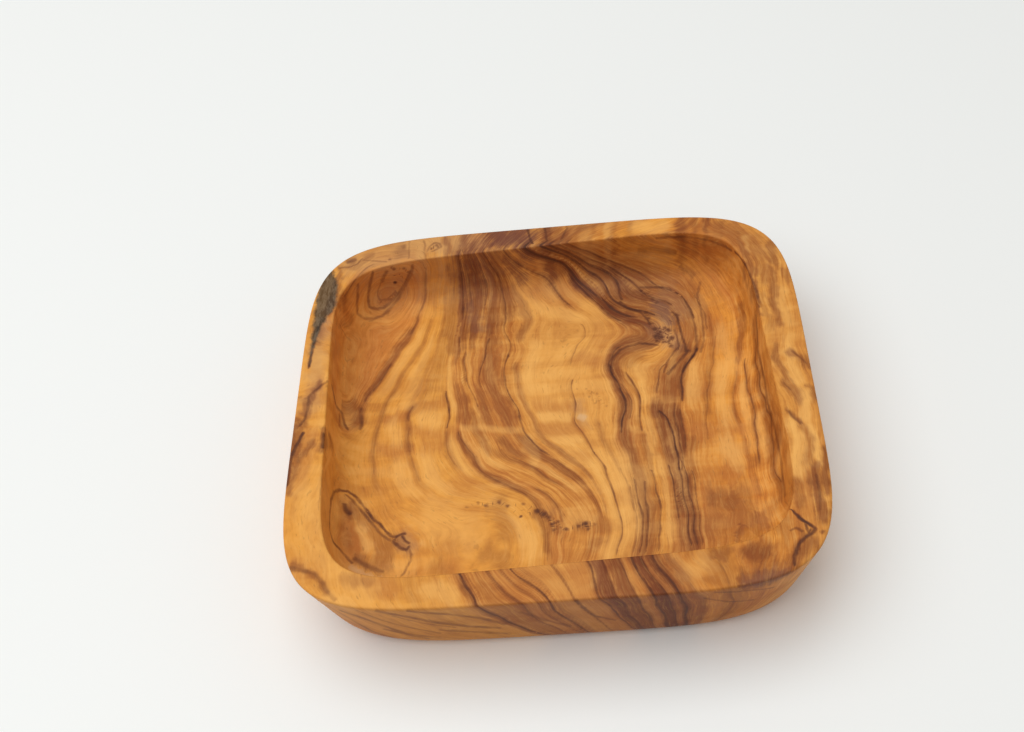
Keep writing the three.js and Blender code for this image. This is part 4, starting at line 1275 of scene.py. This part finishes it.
# %% Pips, as (radius, darkness, place in mm)
PIPS = [
    (0.45, 0.95, (-38.2, 45, 16.3)), (0.40, 0.50, (-38.3, 45.4, 21)), (0.40, 0.55, (-37.6, 45.4, 20.3)),
    (0.40, 0.45, (-35.3, 45.8, 20)), (0.45, 0.45, (-34.5, 45.8, 18.6)), (0.55, 0.65, (-15.7, -20.3)),
    (0.60, 0.65, (-12.8, -19.6)), (0.45, 0.60, (-11, -20.9)), (0.40, 0.30, (-20, -20.4)),
    (0.40, 0.40, (-17.5, -19.5)), (0.45, 0.50, (-7.5, -20.7)), (0.40, 0.75, (-8, -24)),
    (0.75, 0.80, (-4.3, -22.8)), (0.80, 0.75, (-3, -23.8)), (0.60, 0.60, (-2, -24.6)),
    (0.50, 0.80, (-1.3, -26.5)), (0.40, 0.55, (0, -26)), (0.40, 0.50, (-0.9, -28)),
    (0.50, 0.70, (1.8, -28.2)), (0.35, 0.40, (0.6, -27.6)), (0.55, 0.60, (4.5, -27.5)),
    (0.60, 0.85, (6, -27)), (0.40, 0.65, (6.4, -28.5)), (0.45, 0.35, (8, -27.3)),
    (0.70, 0.75, (24.8, 29.1)), (0.65, 0.70, (25.9, 27.9)), (0.75, 0.80, (24.9, 26.7)),
    (0.70, 0.75, (26.3, 26.2)), (0.55, 0.60, (27.2, 29.1)), (0.70, 0.75, (27.9, 28.4)),
    (0.70, 0.75, (28.6, 25.7)), (0.55, 0.70, (27.6, 24.5)), (0.50, 0.60, (26.4, 24.6)),
    (0.60, 0.65, (28.2, 23.1)), (0.50, 0.60, (25, 25.1)), (0.70, 0.60, (23.4, 32.9)),
    (0.60, 0.60, (23, 34.7)), (0.75, 0.70, (30.2, 33.2)), (0.60, 0.45, (25.9, 38.1)),
    (0.60, 0.45, (24.8, 39.3)), (0.70, 0.75, (31.8, 21.1)), (0.45, 0.45, (-38.6, 47.4)),
    (0.75, 0.35, (-35.3, 51.4)), (0.55, 0.60, (53.5, -42.4)), (0.45, 0.62, (-28.3, 50)),
    (0.42, 0.60, (-27, 51)), (0.36, 0.50, (-26.7, 50.2)), (0.32, 0.30, (5.4, 11.8)),
    (0.30, 0.26, (7.6, 11.6)), (0.34, 0.32, (8.8, 10.4)), (0.30, 0.26, (10, 9.8)),
    (0.32, 0.30, (10.8, 7.8)), (0.28, 0.26, (9.5, 7)), (0.30, 0.26, (12, 5.8)), (0.30, 0.28, (8.2, 9)),
]
print("Pips:", len(PIPS))

# %% Measure each point against the strokes and pips
NONE_NEAR = 50.0  # mm


def on_skin(finder, point):
    """A point of a stroke in mm: dropped from above if it has no height, else moved to the skin."""
    if len(point) == 2:
        return dropped(finder, *point)
    return np.array(finder.find_nearest(Vector(point) * MM)[0]) / MM


def stroke_numbers(points, normals, strokes):
    """For each point: side of the nearest stroke, distance to it, way past its end, width, darkness."""
    count = len(points)
    out = {"side": np.full(count, NONE_NEAR), "near": np.full(count, NONE_NEAR)}
    out.update({name: np.zeros(count) for name in ("past", "width", "dark")})
    for width, dark, line in strokes:
        path = np.array(line, float)
        last = len(path) - 2
        for k, (start, end) in enumerate(zip(path[:-1], path[1:])):
            along = end - start
            share = (points - start) @ along / (along @ along)
            off = points - start - np.clip(share, 0, 1)[:, None] * along
            near = np.linalg.norm(off, axis=1)
            closer = near < out["near"]
            left = np.einsum("ij,ij->i", off, np.cross(along, normals)) < 0
            past = np.zeros(count)
            if k == 0:
                past = np.maximum(past, -share * np.linalg.norm(along))
            if k == last:
                past = np.maximum(past, (share - 1) * np.linalg.norm(along))
            side = np.where(left, -near, near)
            new = {"side": side, "near": near, "past": past, "width": width, "dark": dark}
            for name, values in new.items():
                out[name] = np.where(closer, values, out[name])
    return out


def pip_numbers(points, finder):
    """For each point: its offset from the nearest pip, and that pip's radius and darkness."""
    centres = np.array([on_skin(finder, place) for _, _, place in PIPS])
    sizes = np.array([(radius, dark) for radius, dark, _ in PIPS])
    nearest = np.linalg.norm(points[:, None] - centres[None], axis=2).argmin(axis=1)
    return points - centres[nearest], sizes[nearest]


# %% Keep the strokes and pips as numbers on the points
STROKE_STEP = 0.7
FAR_APART = 99.0
HALVES = ("_odd", "_even")
GENTLEST_SLOPE = 0.4  # rings per mm
# Share of the end grain darkening, which is partly painted shade, kept on the walls inside the recess
RECESS_END_GRAIN_AND_SHADE = 0.7


def path_gap(first, second):
    """The smallest distance between the points of two paths."""
    return float(np.linalg.norm(first[:, None] - second[None], axis=2).min())


def two_lists(strokes):
    """The strokes shared out over two lists, each going to the list whose strokes lie farther from it."""
    lists = ([], [])
    paths = ([], [])
    for stroke in strokes:
        path = spaced(stroke[2], STROKE_STEP)
        gaps = [min((path_gap(path, other) for other in taken), default=FAR_APART) for taken in paths]
        pick = int(np.argmax(gaps))
        lists[pick].append(stroke)
        paths[pick].append(path)
    return lists


def keep_strokes(piece, kind, points, normals, strokes, steepness):
    """Keeps the numbers of the strokes as two lists, so that close neighbours don't disturb each other."""
    for half, some in zip(HALVES, two_lists(strokes)):
        for name, values in stroke_numbers(points, normals, some).items():
            if name in ("side", "near"):
                values = values / steepness
            keep_number(piece, kind + half + "_" + name, values)


# Darker where a wall faces along y, to the front and the back: end grain, and partly painted shade on those
# walls
end_grain_and_shade = skin_normals[:, 1] ** 2
keep_number(dish, "end_grain_and_shade", end_grain_and_shade * np.where(outward, 1.0, RECESS_END_GRAIN_AND_SHADE))
pen_lines = [(width, dark, [on_skin(finder, p) for p in line]) for width, dark, line in PEN_STROKES]
keep_strokes(dish, "stroke", skin_points, skin_normals, pen_lines, 1.0)
flat_grain = np.column_stack([by_grain, ASIDE * underside])
upright = np.tile((0.0, 0.0, 1.0), (len(by_grain), 1))
ring_lines = [(width, dark, [(ring, y, 0) for ring, y in line]) for width, dark, line in FINE_LINES]
ring_lines.sort(key=lambda stroke: stroke[2][0][0])
steepness = np.maximum(ring_field.slope(skin_points, skin_normals), GENTLEST_SLOPE)
keep_strokes(dish, "line", flat_grain, upright, ring_lines, steepness)
pip_offsets, pip_sizes = pip_numbers(skin_points, finder)
for axis, name in enumerate(("x", "y", "z")):
    keep_number(dish, "pip_" + name, pip_offsets[:, axis])
keep_number(dish, "pip_radius", pip_sizes[:, 0])
keep_number(dish, "pip_dark", pip_sizes[:, 1])

# %% [markdown]
# A wedge of grey bark was left in the far-left rim. It is a closed shape in plan, so its number is the
# distance inside its border, and it fades out down the outer wall.

# %% Mark the bark wedge
BARK_WEDGE = [
    (-53, 46.6), (-51.6, 42.5), (-50.8, 38), (-50.8, 33), (-52, 30), (-53.6, 27), (-54.5, 22),
    (-55.3, 17), (-55.6, 14), (-55.9, 18), (-56, 24), (-56.1, 30), (-56, 36), (-55.4, 41), (-54.4, 44.8),
]
BARK_FADE = 0.25  # for each mm below the rim


def depth_inside(flat, border):
    """Distance inside a closed border in plan, negative outside. No side of it runs level along x."""
    corners = np.array(border + border[:1], float)
    inside = np.zeros(len(flat), bool)
    for start, end in zip(corners[:-1], corners[1:]):
        run, rise = end - start
        crossed = (start[1] > flat[:, 1]) != (end[1] > flat[:, 1])
        inside ^= crossed & (flat[:, 0] < start[0] + (flat[:, 1] - start[1]) / rise * run)
    near = path_distance(flat, corners)
    return np.where(inside, near, -near)


keep_number(dish, "bark", depth_inside(skin_points[:, :2], BARK_WEDGE) - BARK_FADE * depth)

# %% [markdown]
# ## The wood
# The material reads those numbers and colours them in layers: broad tones from ring to ring, streaks and
# fibres along the grain, the brushed bands and ripples, thin lines of late wood, then knots and bark. Every
# noise that follows the grain is four-dimensional, with the ring number as the fourth direction: it
# changes quickly from ring to ring and slowly along each ring.

# %% Helpers for the wood's nodes


def numbers(tree, name):
    """One of the numbers kept on the points."""
    return add(tree, "ShaderNodeAttribute", attribute_name=name).outputs["Fac"]


def noise(tree, vector, scale, detail=2.0, roughness=0.5):
    """Soft noise around a half, with a number of waves per mm."""
    inputs = {"Vector": vector, "Scale": scale, "Detail": detail, "Roughness": roughness}
    return add(tree, "ShaderNodeTexNoise", inputs).outputs["Fac"]


def grain_noise(tree, ring, place, across, along, detail=2.0, roughness=0.5):
    """Noise with its own fineness across and along the grain, in waves per mm."""
    inputs = {
        "Vector": place, "W": sums(tree, "MULTIPLY", ring, across / along), "Scale": along,
        "Detail": detail, "Roughness": roughness,
    }
    return add(tree, "ShaderNodeTexNoise", inputs, noise_dimensions="4D").outputs["Fac"]


def swing(tree, value, amount):
    """Noise turned into plus or minus an amount."""
    return sums(tree, "MULTIPLY", sums(tree, "SUBTRACT", value, 0.5), 2.0 * amount)


def ramp_up(tree, value, zero_at, one_at):
    """A share that is 0 up to one value and 1 from another on, smooth between."""
    inputs = {"Value": value, "From Min": zero_at, "From Max": one_at}
    return add(tree, "ShaderNodeMapRange", inputs, interpolation_type="SMOOTHSTEP").outputs["Result"]


def mixed(tree, share, first, second, blend="MIX"):
    """Two colours mixed by a share."""
    node = add(tree, "ShaderNodeMix", data_type="RGBA", blend_type=blend)
    feed(tree, node.inputs[0], share)
    feed(tree, node.inputs[6], first)
    feed(tree, node.inputs[7], second)
    return node.outputs[2]


# %% Tones from ring to ring
LEFT_TONES = [
    (-64, (0.60, 0.220, 0.043)), (-60, (0.72, 0.285, 0.052)), (-57, (0.60, 0.225, 0.045)),
    (-54.5, (0.73, 0.285, 0.052)), (-53, (0.68, 0.250, 0.047)), (-50.5, (0.67, 0.250, 0.047)),
    (-48.8, (0.62, 0.232, 0.047)), (-47, (0.75, 0.315, 0.052)), (-43, (0.77, 0.330, 0.054)),
    (-41.6, (0.70, 0.290, 0.050)), (-40.4, (0.77, 0.330, 0.054)), (-35.5, (0.77, 0.330, 0.054)),
    (-33.8, (0.70, 0.290, 0.050)), (-32, (0.77, 0.335, 0.056)), (-27, (0.75, 0.325, 0.056)),
    (-25.3, (0.69, 0.290, 0.052)), (-24, (0.75, 0.325, 0.056)), (-22.3, (0.63, 0.250, 0.050)),
    (-20.5, (0.60, 0.230, 0.048)), (-18, (0.67, 0.270, 0.050)), (-14, (0.62, 0.245, 0.048)),
    (-8, (0.63, 0.250, 0.050)), (-6.6, (0.70, 0.295, 0.058)), (-5, (0.66, 0.275, 0.058)),
    (-3.2, (0.77, 0.350, 0.076)), (0, (0.78, 0.362, 0.080)),
]
RIGHT_TONES = [
    (0, (0.78, 0.362, 0.080)), (3.2, (0.78, 0.360, 0.078)), (4.8, (0.71, 0.318, 0.070)),
    (6, (0.77, 0.350, 0.076)), (12, (0.74, 0.330, 0.070)), (13.5, (0.58, 0.235, 0.054)),
    (15.2, (0.47, 0.180, 0.046)), (17, (0.54, 0.212, 0.050)), (18.8, (0.62, 0.250, 0.052)),
    (21.3, (0.74, 0.320, 0.060)), (23.2, (0.58, 0.230, 0.050)), (24.6, (0.46, 0.175, 0.044)),
    (28.6, (0.45, 0.168, 0.042)), (30.2, (0.64, 0.250, 0.048)), (34, (0.66, 0.256, 0.044)),
    (36, (0.76, 0.300, 0.042)), (40, (0.80, 0.330, 0.046)), (41.5, (0.68, 0.250, 0.038)),
    (43, (0.75, 0.290, 0.042)), (46, (0.68, 0.255, 0.040)), (48, (0.64, 0.235, 0.040)),
    (50.5, (0.72, 0.305, 0.056)), (53, (0.64, 0.258, 0.052)), (56, (0.72, 0.308, 0.060)),
    (59, (0.66, 0.265, 0.050)), (61.5, (0.74, 0.315, 0.060)), (63.5, (0.60, 0.235, 0.048)),
    (66, (0.72, 0.300, 0.056)), (70, (0.56, 0.215, 0.045)),
]


def tone_ramp(tree, ring, tones):
    """The colour of each ring, from one end of a list of tones to the other."""
    low, high = tones[0][0], tones[-1][0]
    place = add(tree, "ShaderNodeMapRange", {"Value": ring, "From Min": low, "From Max": high})
    ramp = add(tree, "ShaderNodeValToRGB", {"Fac": place.outputs["Result"]})
    stops = ramp.color_ramp.elements
    while len(stops) < len(tones):
        stops.new(1.0)
    for stop, (at, colour) in zip(stops, tones):
        stop.position = (at - low) / (high - low)
        stop.color = (*colour, 1.0)
    return ramp.outputs["Color"]


def broad_tones(tree, ring):
    """Both halves of the tones, joined at ring number zero."""
    right = sums(tree, "GREATER_THAN", ring, 0.0)
    return mixed(tree, right, tone_ramp(tree, ring, LEFT_TONES), tone_ramp(tree, ring, RIGHT_TONES))


print("Tones from ring", LEFT_TONES[0][0], "to ring", RIGHT_TONES[-1][0])

# %% Streaks, fibres and pores
PALE_WOOD = (0.91, 0.485, 0.135, 1.0)
DEEP_WOOD = (0.36, 0.098, 0.018, 1.0)
PORE_COLOUR = (0.115, 0.044, 0.022, 1.0)
YEAR_WIDTH = 1.7
LATE_WOOD_SHARE = 0.55
LATE_WOOD_POWER = 3.0
PORE_SHARE = 0.22
RIPPLE_SHEAR = 0.22  # how much the ring number shifts a ripple
# How much of the fine streaks shows, as (ring number, share)
FIGURE_SHARE = [
    (-50, 0.5), (-46, 0.25), (-24, 0.35), (-22, 1.0), (-6, 0.9), (-4, 0.25), (11, 0.3), (13, 1.0),
    (32, 0.9), (36, 0.35), (40, 0.4), (42, 0.9), (49, 0.9), (51, 0.5), (58, 0.7),
]


def toned(tree, colour, amount):
    """Wood made deeper where an amount is negative, and paler where it is positive."""
    deep = sums(tree, "MAXIMUM", sums(tree, "MULTIPLY", amount, -1.0), 0.0)
    pale = sums(tree, "MAXIMUM", amount, 0.0)
    return mixed(tree, pale, mixed(tree, deep, colour, DEEP_WOOD), PALE_WOOD)


def late_wood(tree, ring, place):
    """A slow darkening towards the end of each year's ring, then a sharp start of the next."""
    waver = swing(tree, noise(tree, place, scale=0.04), 4.0)
    year = sums(tree, "FRACT", sums(tree, "DIVIDE", sums(tree, "ADD", ring, waver), YEAR_WIDTH))
    strength = grain_noise(tree, ring, place, across=0.35, along=0.06)
    strength = ramp_up(tree, strength, zero_at=0.35, one_at=0.65)
    darkest = sums(tree, "MULTIPLY", strength, -LATE_WOOD_SHARE)
    return sums(tree, "MULTIPLY", sums(tree, "POWER", year, LATE_WOOD_POWER), darkest)


def streaked(tree, colour, ring, place):
    """Streaks along the grain, finest in the dark rings, and a mottle that lies across them."""
    figure = tone_ramp(tree, ring, [(at, (share, share, share)) for at, share in FIGURE_SHARE])
    broad = grain_noise(tree, ring, place, across=0.30, along=0.03, detail=3.0, roughness=0.6)
    broad = swing(tree, broad, 0.60)
    narrow = grain_noise(tree, ring, place, across=1.5, along=0.07, detail=4.0, roughness=0.65)
    narrow = swing(tree, ramp_up(tree, narrow, zero_at=0.34, one_at=0.66), 0.38)
    fine = sums(tree, "MULTIPLY", sums(tree, "ADD", narrow, late_wood(tree, ring, place)), figure)
    mottle = swing(tree, noise(tree, place, scale=0.25, detail=4.0, roughness=0.6), 0.50)
    return toned(tree, colour, sums(tree, "ADD", sums(tree, "ADD", broad, mottle), fine))


def rippled(tree, colour, ring, place):
    """The shimmer across the grain: bands that change along the rings and hardly from ring to ring."""
    parts = add(tree, "ShaderNodeSeparateXYZ", {"Vector": place}).outputs
    lying = {"X": sums(tree, "MULTIPLY", ring, RIPPLE_SHEAR), "Y": parts["Y"], "Z": parts["Z"]}
    across = add(tree, "ShaderNodeCombineXYZ", lying).outputs[0]
    waves = noise(tree, across, scale=0.19, detail=3.0, roughness=0.55)
    waves = ramp_up(tree, waves, zero_at=0.33, one_at=0.67)
    where = ramp_up(tree, noise(tree, place, scale=0.05, detail=1.0), zero_at=0.34, one_at=0.60)
    return toned(tree, colour, sums(tree, "MULTIPLY", swing(tree, waves, 0.30), where))


def fibrous(tree, colour, ring, place):
    """Fibres and pores, the finest marks that the wood shows."""
    fibres = grain_noise(tree, ring, place, across=3.2, along=0.25, detail=3.0, roughness=0.65)
    colour = toned(tree, colour, swing(tree, fibres, 0.42))
    pores = grain_noise(tree, ring, place, across=4.0, along=0.5, detail=1.0)
    pores = ramp_up(tree, pores, zero_at=0.62, one_at=0.74)
    return mixed(tree, sums(tree, "MULTIPLY", pores, PORE_SHARE), colour, PORE_COLOUR), fibres


# %% Bands, ripples and lines of late wood
# Brown of the bands and lines; it also darkens the walls facing front and back as partly painted shade, and
# draws the painted shadow line under the far rim
STAIN_AND_SHADE = (0.29, 0.165, 0.30, 1.0)
RUDDY_WOOD = (0.43, 0.132, 0.030, 1.0)
# Grey haze: partly the wood's own grey, partly painted sheen
GREY_HAZE_AND_SHEEN = (0.42, 0.235, 0.125, 1.0)
MARK_COLOUR = (0.095, 0.036, 0.019, 1.0)


def brush_share(tree, name, comb):
    """How much of a brushed tone shows, its edge combed out along the grain."""
    reach = sums(tree, "ADD", numbers(tree, name + "_reach"), comb)
    share = ramp_up(tree, reach, zero_at=-0.55, one_at=0.75)
    return sums(tree, "MULTIPLY", share, numbers(tree, name + "_amount"))


def banded(tree, colour, ring, place):
    """The brushed bands, their edges combed out along the grain."""
    comb = grain_noise(tree, ring, place, across=1.1, along=0.06, detail=4.0, roughness=0.65)
    comb = swing(tree, comb, 1.0)
    tatter = swing(tree, noise(tree, place, scale=0.35, detail=4.0, roughness=0.6), 0.6)
    comb = sums(tree, "ADD", comb, tatter)
    # The hazy tone is partly painted sheen
    for name, tone in (("ruddy", RUDDY_WOOD), ("pale", PALE_WOOD), ("hazy", GREY_HAZE_AND_SHEEN)):
        colour = mixed(tree, brush_share(tree, name, comb), colour, tone)
    return mixed(tree, brush_share(tree, "brown", comb), colour, STAIN_AND_SHADE, "MULTIPLY")


def drawn_lines(tree, kind, place, shake, taper, skirt):
    """The mask of drawn lines: a trembling core, and a soft skirt on the side of the older wood."""
    drawn = numbers(tree, kind + "_side")
    real = sums(tree, "SUBTRACT", numbers(tree, kind + "_near"), sums(tree, "ABSOLUTE", drawn))
    side = sums(tree, "ADD", drawn, shake)
    swell = sums(tree, "ADD", noise(tree, place, scale=0.35), 0.5)
    width = sums(tree, "MULTIPLY", numbers(tree, kind + "_width"), swell)
    off = sums(tree, "DIVIDE", side, width)
    core = ramp_up(tree, sums(tree, "ABSOLUTE", off), zero_at=1.5, one_at=0.2)
    away = sums(tree, "DIVIDE", numbers(tree, kind + "_near"), width)
    close = ramp_up(tree, away, zero_at=4.5, one_at=0.0)
    older = sums(tree, "MULTIPLY", close, ramp_up(tree, off, zero_at=-1.0, one_at=0.5))
    line = sums(tree, "MAXIMUM", core, sums(tree, "MULTIPLY", older, skirt))
    line = sums(tree, "MULTIPLY", line, ramp_up(tree, real, zero_at=0.54, one_at=0.40))
    within = ramp_up(tree, numbers(tree, kind + "_past"), zero_at=taper, one_at=0.0)
    line = sums(tree, "MULTIPLY", line, within)
    uneven = noise(tree, place, scale=0.30, detail=3.0, roughness=0.6)
    uneven = sums(tree, "MULTIPLY_ADD", uneven, 1.6, 0.15)
    line = sums(tree, "MULTIPLY", line, uneven)
    return sums(tree, "MULTIPLY", line, numbers(tree, kind + "_dark"))


def inked(tree, colour, mask):
    """Wood under a drawn line: stained brown where the line is faint, nearly black where it is strong."""
    stained = mixed(tree, mask, colour, STAIN_AND_SHADE, "MULTIPLY")
    return mixed(tree, sums(tree, "MULTIPLY", mask, mask), stained, MARK_COLOUR)


# %% Knots, pips and bark
# Pale strokes: a worn spot on the floor, and painted sheen on the cove below the torn knot
PALE_MARK_AND_SHEEN = (0.72, 0.46, 0.25, 1.0)
BARK_DARK = (0.050, 0.036, 0.024, 1.0)
BARK_GREY = (0.15, 0.112, 0.074, 1.0)
BARK_CRUMBS = (1.3, 0.35, 0.6)  # crumbs per mm in x, y and z
BARK_SHARE = 0.9


def pip_mask(tree, place):
    """The mask of the pips, each a small blot with a ragged edge."""
    parts = {axis.upper(): numbers(tree, "pip_" + axis) for axis in ("x", "y", "z")}
    offset = add(tree, "ShaderNodeCombineXYZ", parts).outputs[0]
    away = add(tree, "ShaderNodeVectorMath", {0: offset}, operation="LENGTH").outputs["Value"]
    away = sums(tree, "ADD", away, swing(tree, noise(tree, place, scale=1.3), 0.40))
    away = sums(tree, "DIVIDE", away, numbers(tree, "pip_radius"))
    blot = ramp_up(tree, away, zero_at=1.7, one_at=0.1)
    return sums(tree, "MULTIPLY", blot, numbers(tree, "pip_dark"))


def marked(tree, colour, place):
    """Knot lines and pips over the wood, and pale strokes: a worn spot, and painted sheen on a cove."""
    tremble = swing(tree, noise(tree, place, scale=0.8), 0.22)
    first, second = (
        drawn_lines(tree, "stroke" + half, place, tremble, taper=0.6, skirt=0.0) for half in HALVES
    )
    pale = sums(tree, "MULTIPLY", sums(tree, "MINIMUM", sums(tree, "MINIMUM", first, second), 0.0), -1.0)
    colour = mixed(tree, pale, colour, PALE_MARK_AND_SHEEN)
    dark = sums(tree, "MAXIMUM", sums(tree, "MAXIMUM", first, second), pip_mask(tree, place))
    return inked(tree, colour, dark)


def bark_mask(tree, place):
    """The mask of the bark wedge, with a frayed border."""
    fray = swing(tree, noise(tree, place, scale=0.5, detail=4.0, roughness=0.65), 1.1)
    return ramp_up(tree, sums(tree, "ADD", numbers(tree, "bark"), fray), zero_at=-0.4, one_at=0.6)


def barked(tree, colour, bark, place):
    """Grey, crumbling bark over the wood."""
    long_crumbs = add(tree, "ShaderNodeVectorMath", {0: place, 1: BARK_CRUMBS}, operation="MULTIPLY")
    crumbs = noise(tree, long_crumbs.outputs[0], scale=1.0, detail=4.0, roughness=0.7)
    crumbs = ramp_up(tree, crumbs, zero_at=0.40, one_at=0.64)
    share = sums(tree, "MULTIPLY", bark, BARK_SHARE)
    return mixed(tree, share, colour, mixed(tree, crumbs, BARK_DARK, BARK_GREY))


# %% Build the wood material
# How dark the walls facing front and back are made: end grain, and partly painted shade
END_GRAIN_AND_SHADE_SHARE = 0.44
LEAST_ROUGHNESS = 0.38
FIBRE_ROUGHNESS = 0.25
BARK_ROUGHNESS = 0.3
OILED_GLOSS = 0.15
FIBRE_RELIEF = 0.05 * MM
RELIEF_STRENGTH = 0.35


def build_olive_wood(material):
    """The whole finish of the dish."""
    material.use_nodes = True
    tree = material.node_tree
    shader = tree.nodes["Principled BSDF"]
    own = add(tree, "ShaderNodeTexCoord").outputs["Object"]
    place = add(tree, "ShaderNodeVectorMath", {0: own, "Scale": 1 / MM}, operation="SCALE").outputs[0]
    smooth_ring = numbers(tree, "ring")
    fuzz = swing(tree, grain_noise(tree, smooth_ring, place, across=0.9, along=0.3, detail=3.0), 0.35)
    ring = sums(tree, "ADD", smooth_ring, fuzz)
    drift = swing(tree, noise(tree, place, scale=0.06, detail=3.0, roughness=0.6), 1.6)
    colour = broad_tones(tree, sums(tree, "ADD", ring, drift))
    colour = streaked(tree, colour, ring, place)
    colour = rippled(tree, colour, ring, place)
    colour = banded(tree, colour, ring, place)
    # End grain, and partly painted shade: the walls facing front and back are darkened
    end_grain_and_shade = sums(tree, "MULTIPLY", numbers(tree, "end_grain_and_shade"), END_GRAIN_AND_SHADE_SHARE)
    colour = mixed(tree, end_grain_and_shade, colour, STAIN_AND_SHADE, "MULTIPLY")
    colour, fibres = fibrous(tree, colour, ring, place)
    for half in HALVES:
        lines = drawn_lines(tree, "line" + half, place, fuzz, taper=1.5, skirt=0.45)
        colour = inked(tree, colour, lines)
    colour = marked(tree, colour, place)
    bark = bark_mask(tree, place)
    feed(tree, shader.inputs["Base Color"], barked(tree, colour, bark, place))
    rough = sums(tree, "MULTIPLY_ADD", fibres, FIBRE_ROUGHNESS, LEAST_ROUGHNESS)
    feed(tree, shader.inputs["Roughness"], sums(tree, "MULTIPLY_ADD", bark, BARK_ROUGHNESS, rough))
    shader.inputs["Specular IOR Level"].default_value = OILED_GLOSS
    relief = {"Height": fibres, "Strength": RELIEF_STRENGTH, "Distance": FIBRE_RELIEF}
    bump = add(tree, "ShaderNodeBump", relief)
    feed(tree, shader.inputs["Normal"], bump.outputs["Normal"])


build_olive_wood(olive_wood)
print("Wood nodes:", len(olive_wood.node_tree.nodes))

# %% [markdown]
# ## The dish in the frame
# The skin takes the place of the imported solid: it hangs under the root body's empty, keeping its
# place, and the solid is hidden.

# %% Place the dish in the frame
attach(dish, "root")
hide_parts("dish_body")
print("The dish stands in for dish_body and wears", olive_wood.name)

# %% Print the sizes
visual_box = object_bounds()
sizes = {
    "cad": [list(corner) for corner in cad_box],
    "visual": [list(corner) for corner in visual_box],
}
for name, box in sizes.items():
    print("Box of", name, "in mm:", [[round(value / MM, 2) for value in corner] for corner in box])
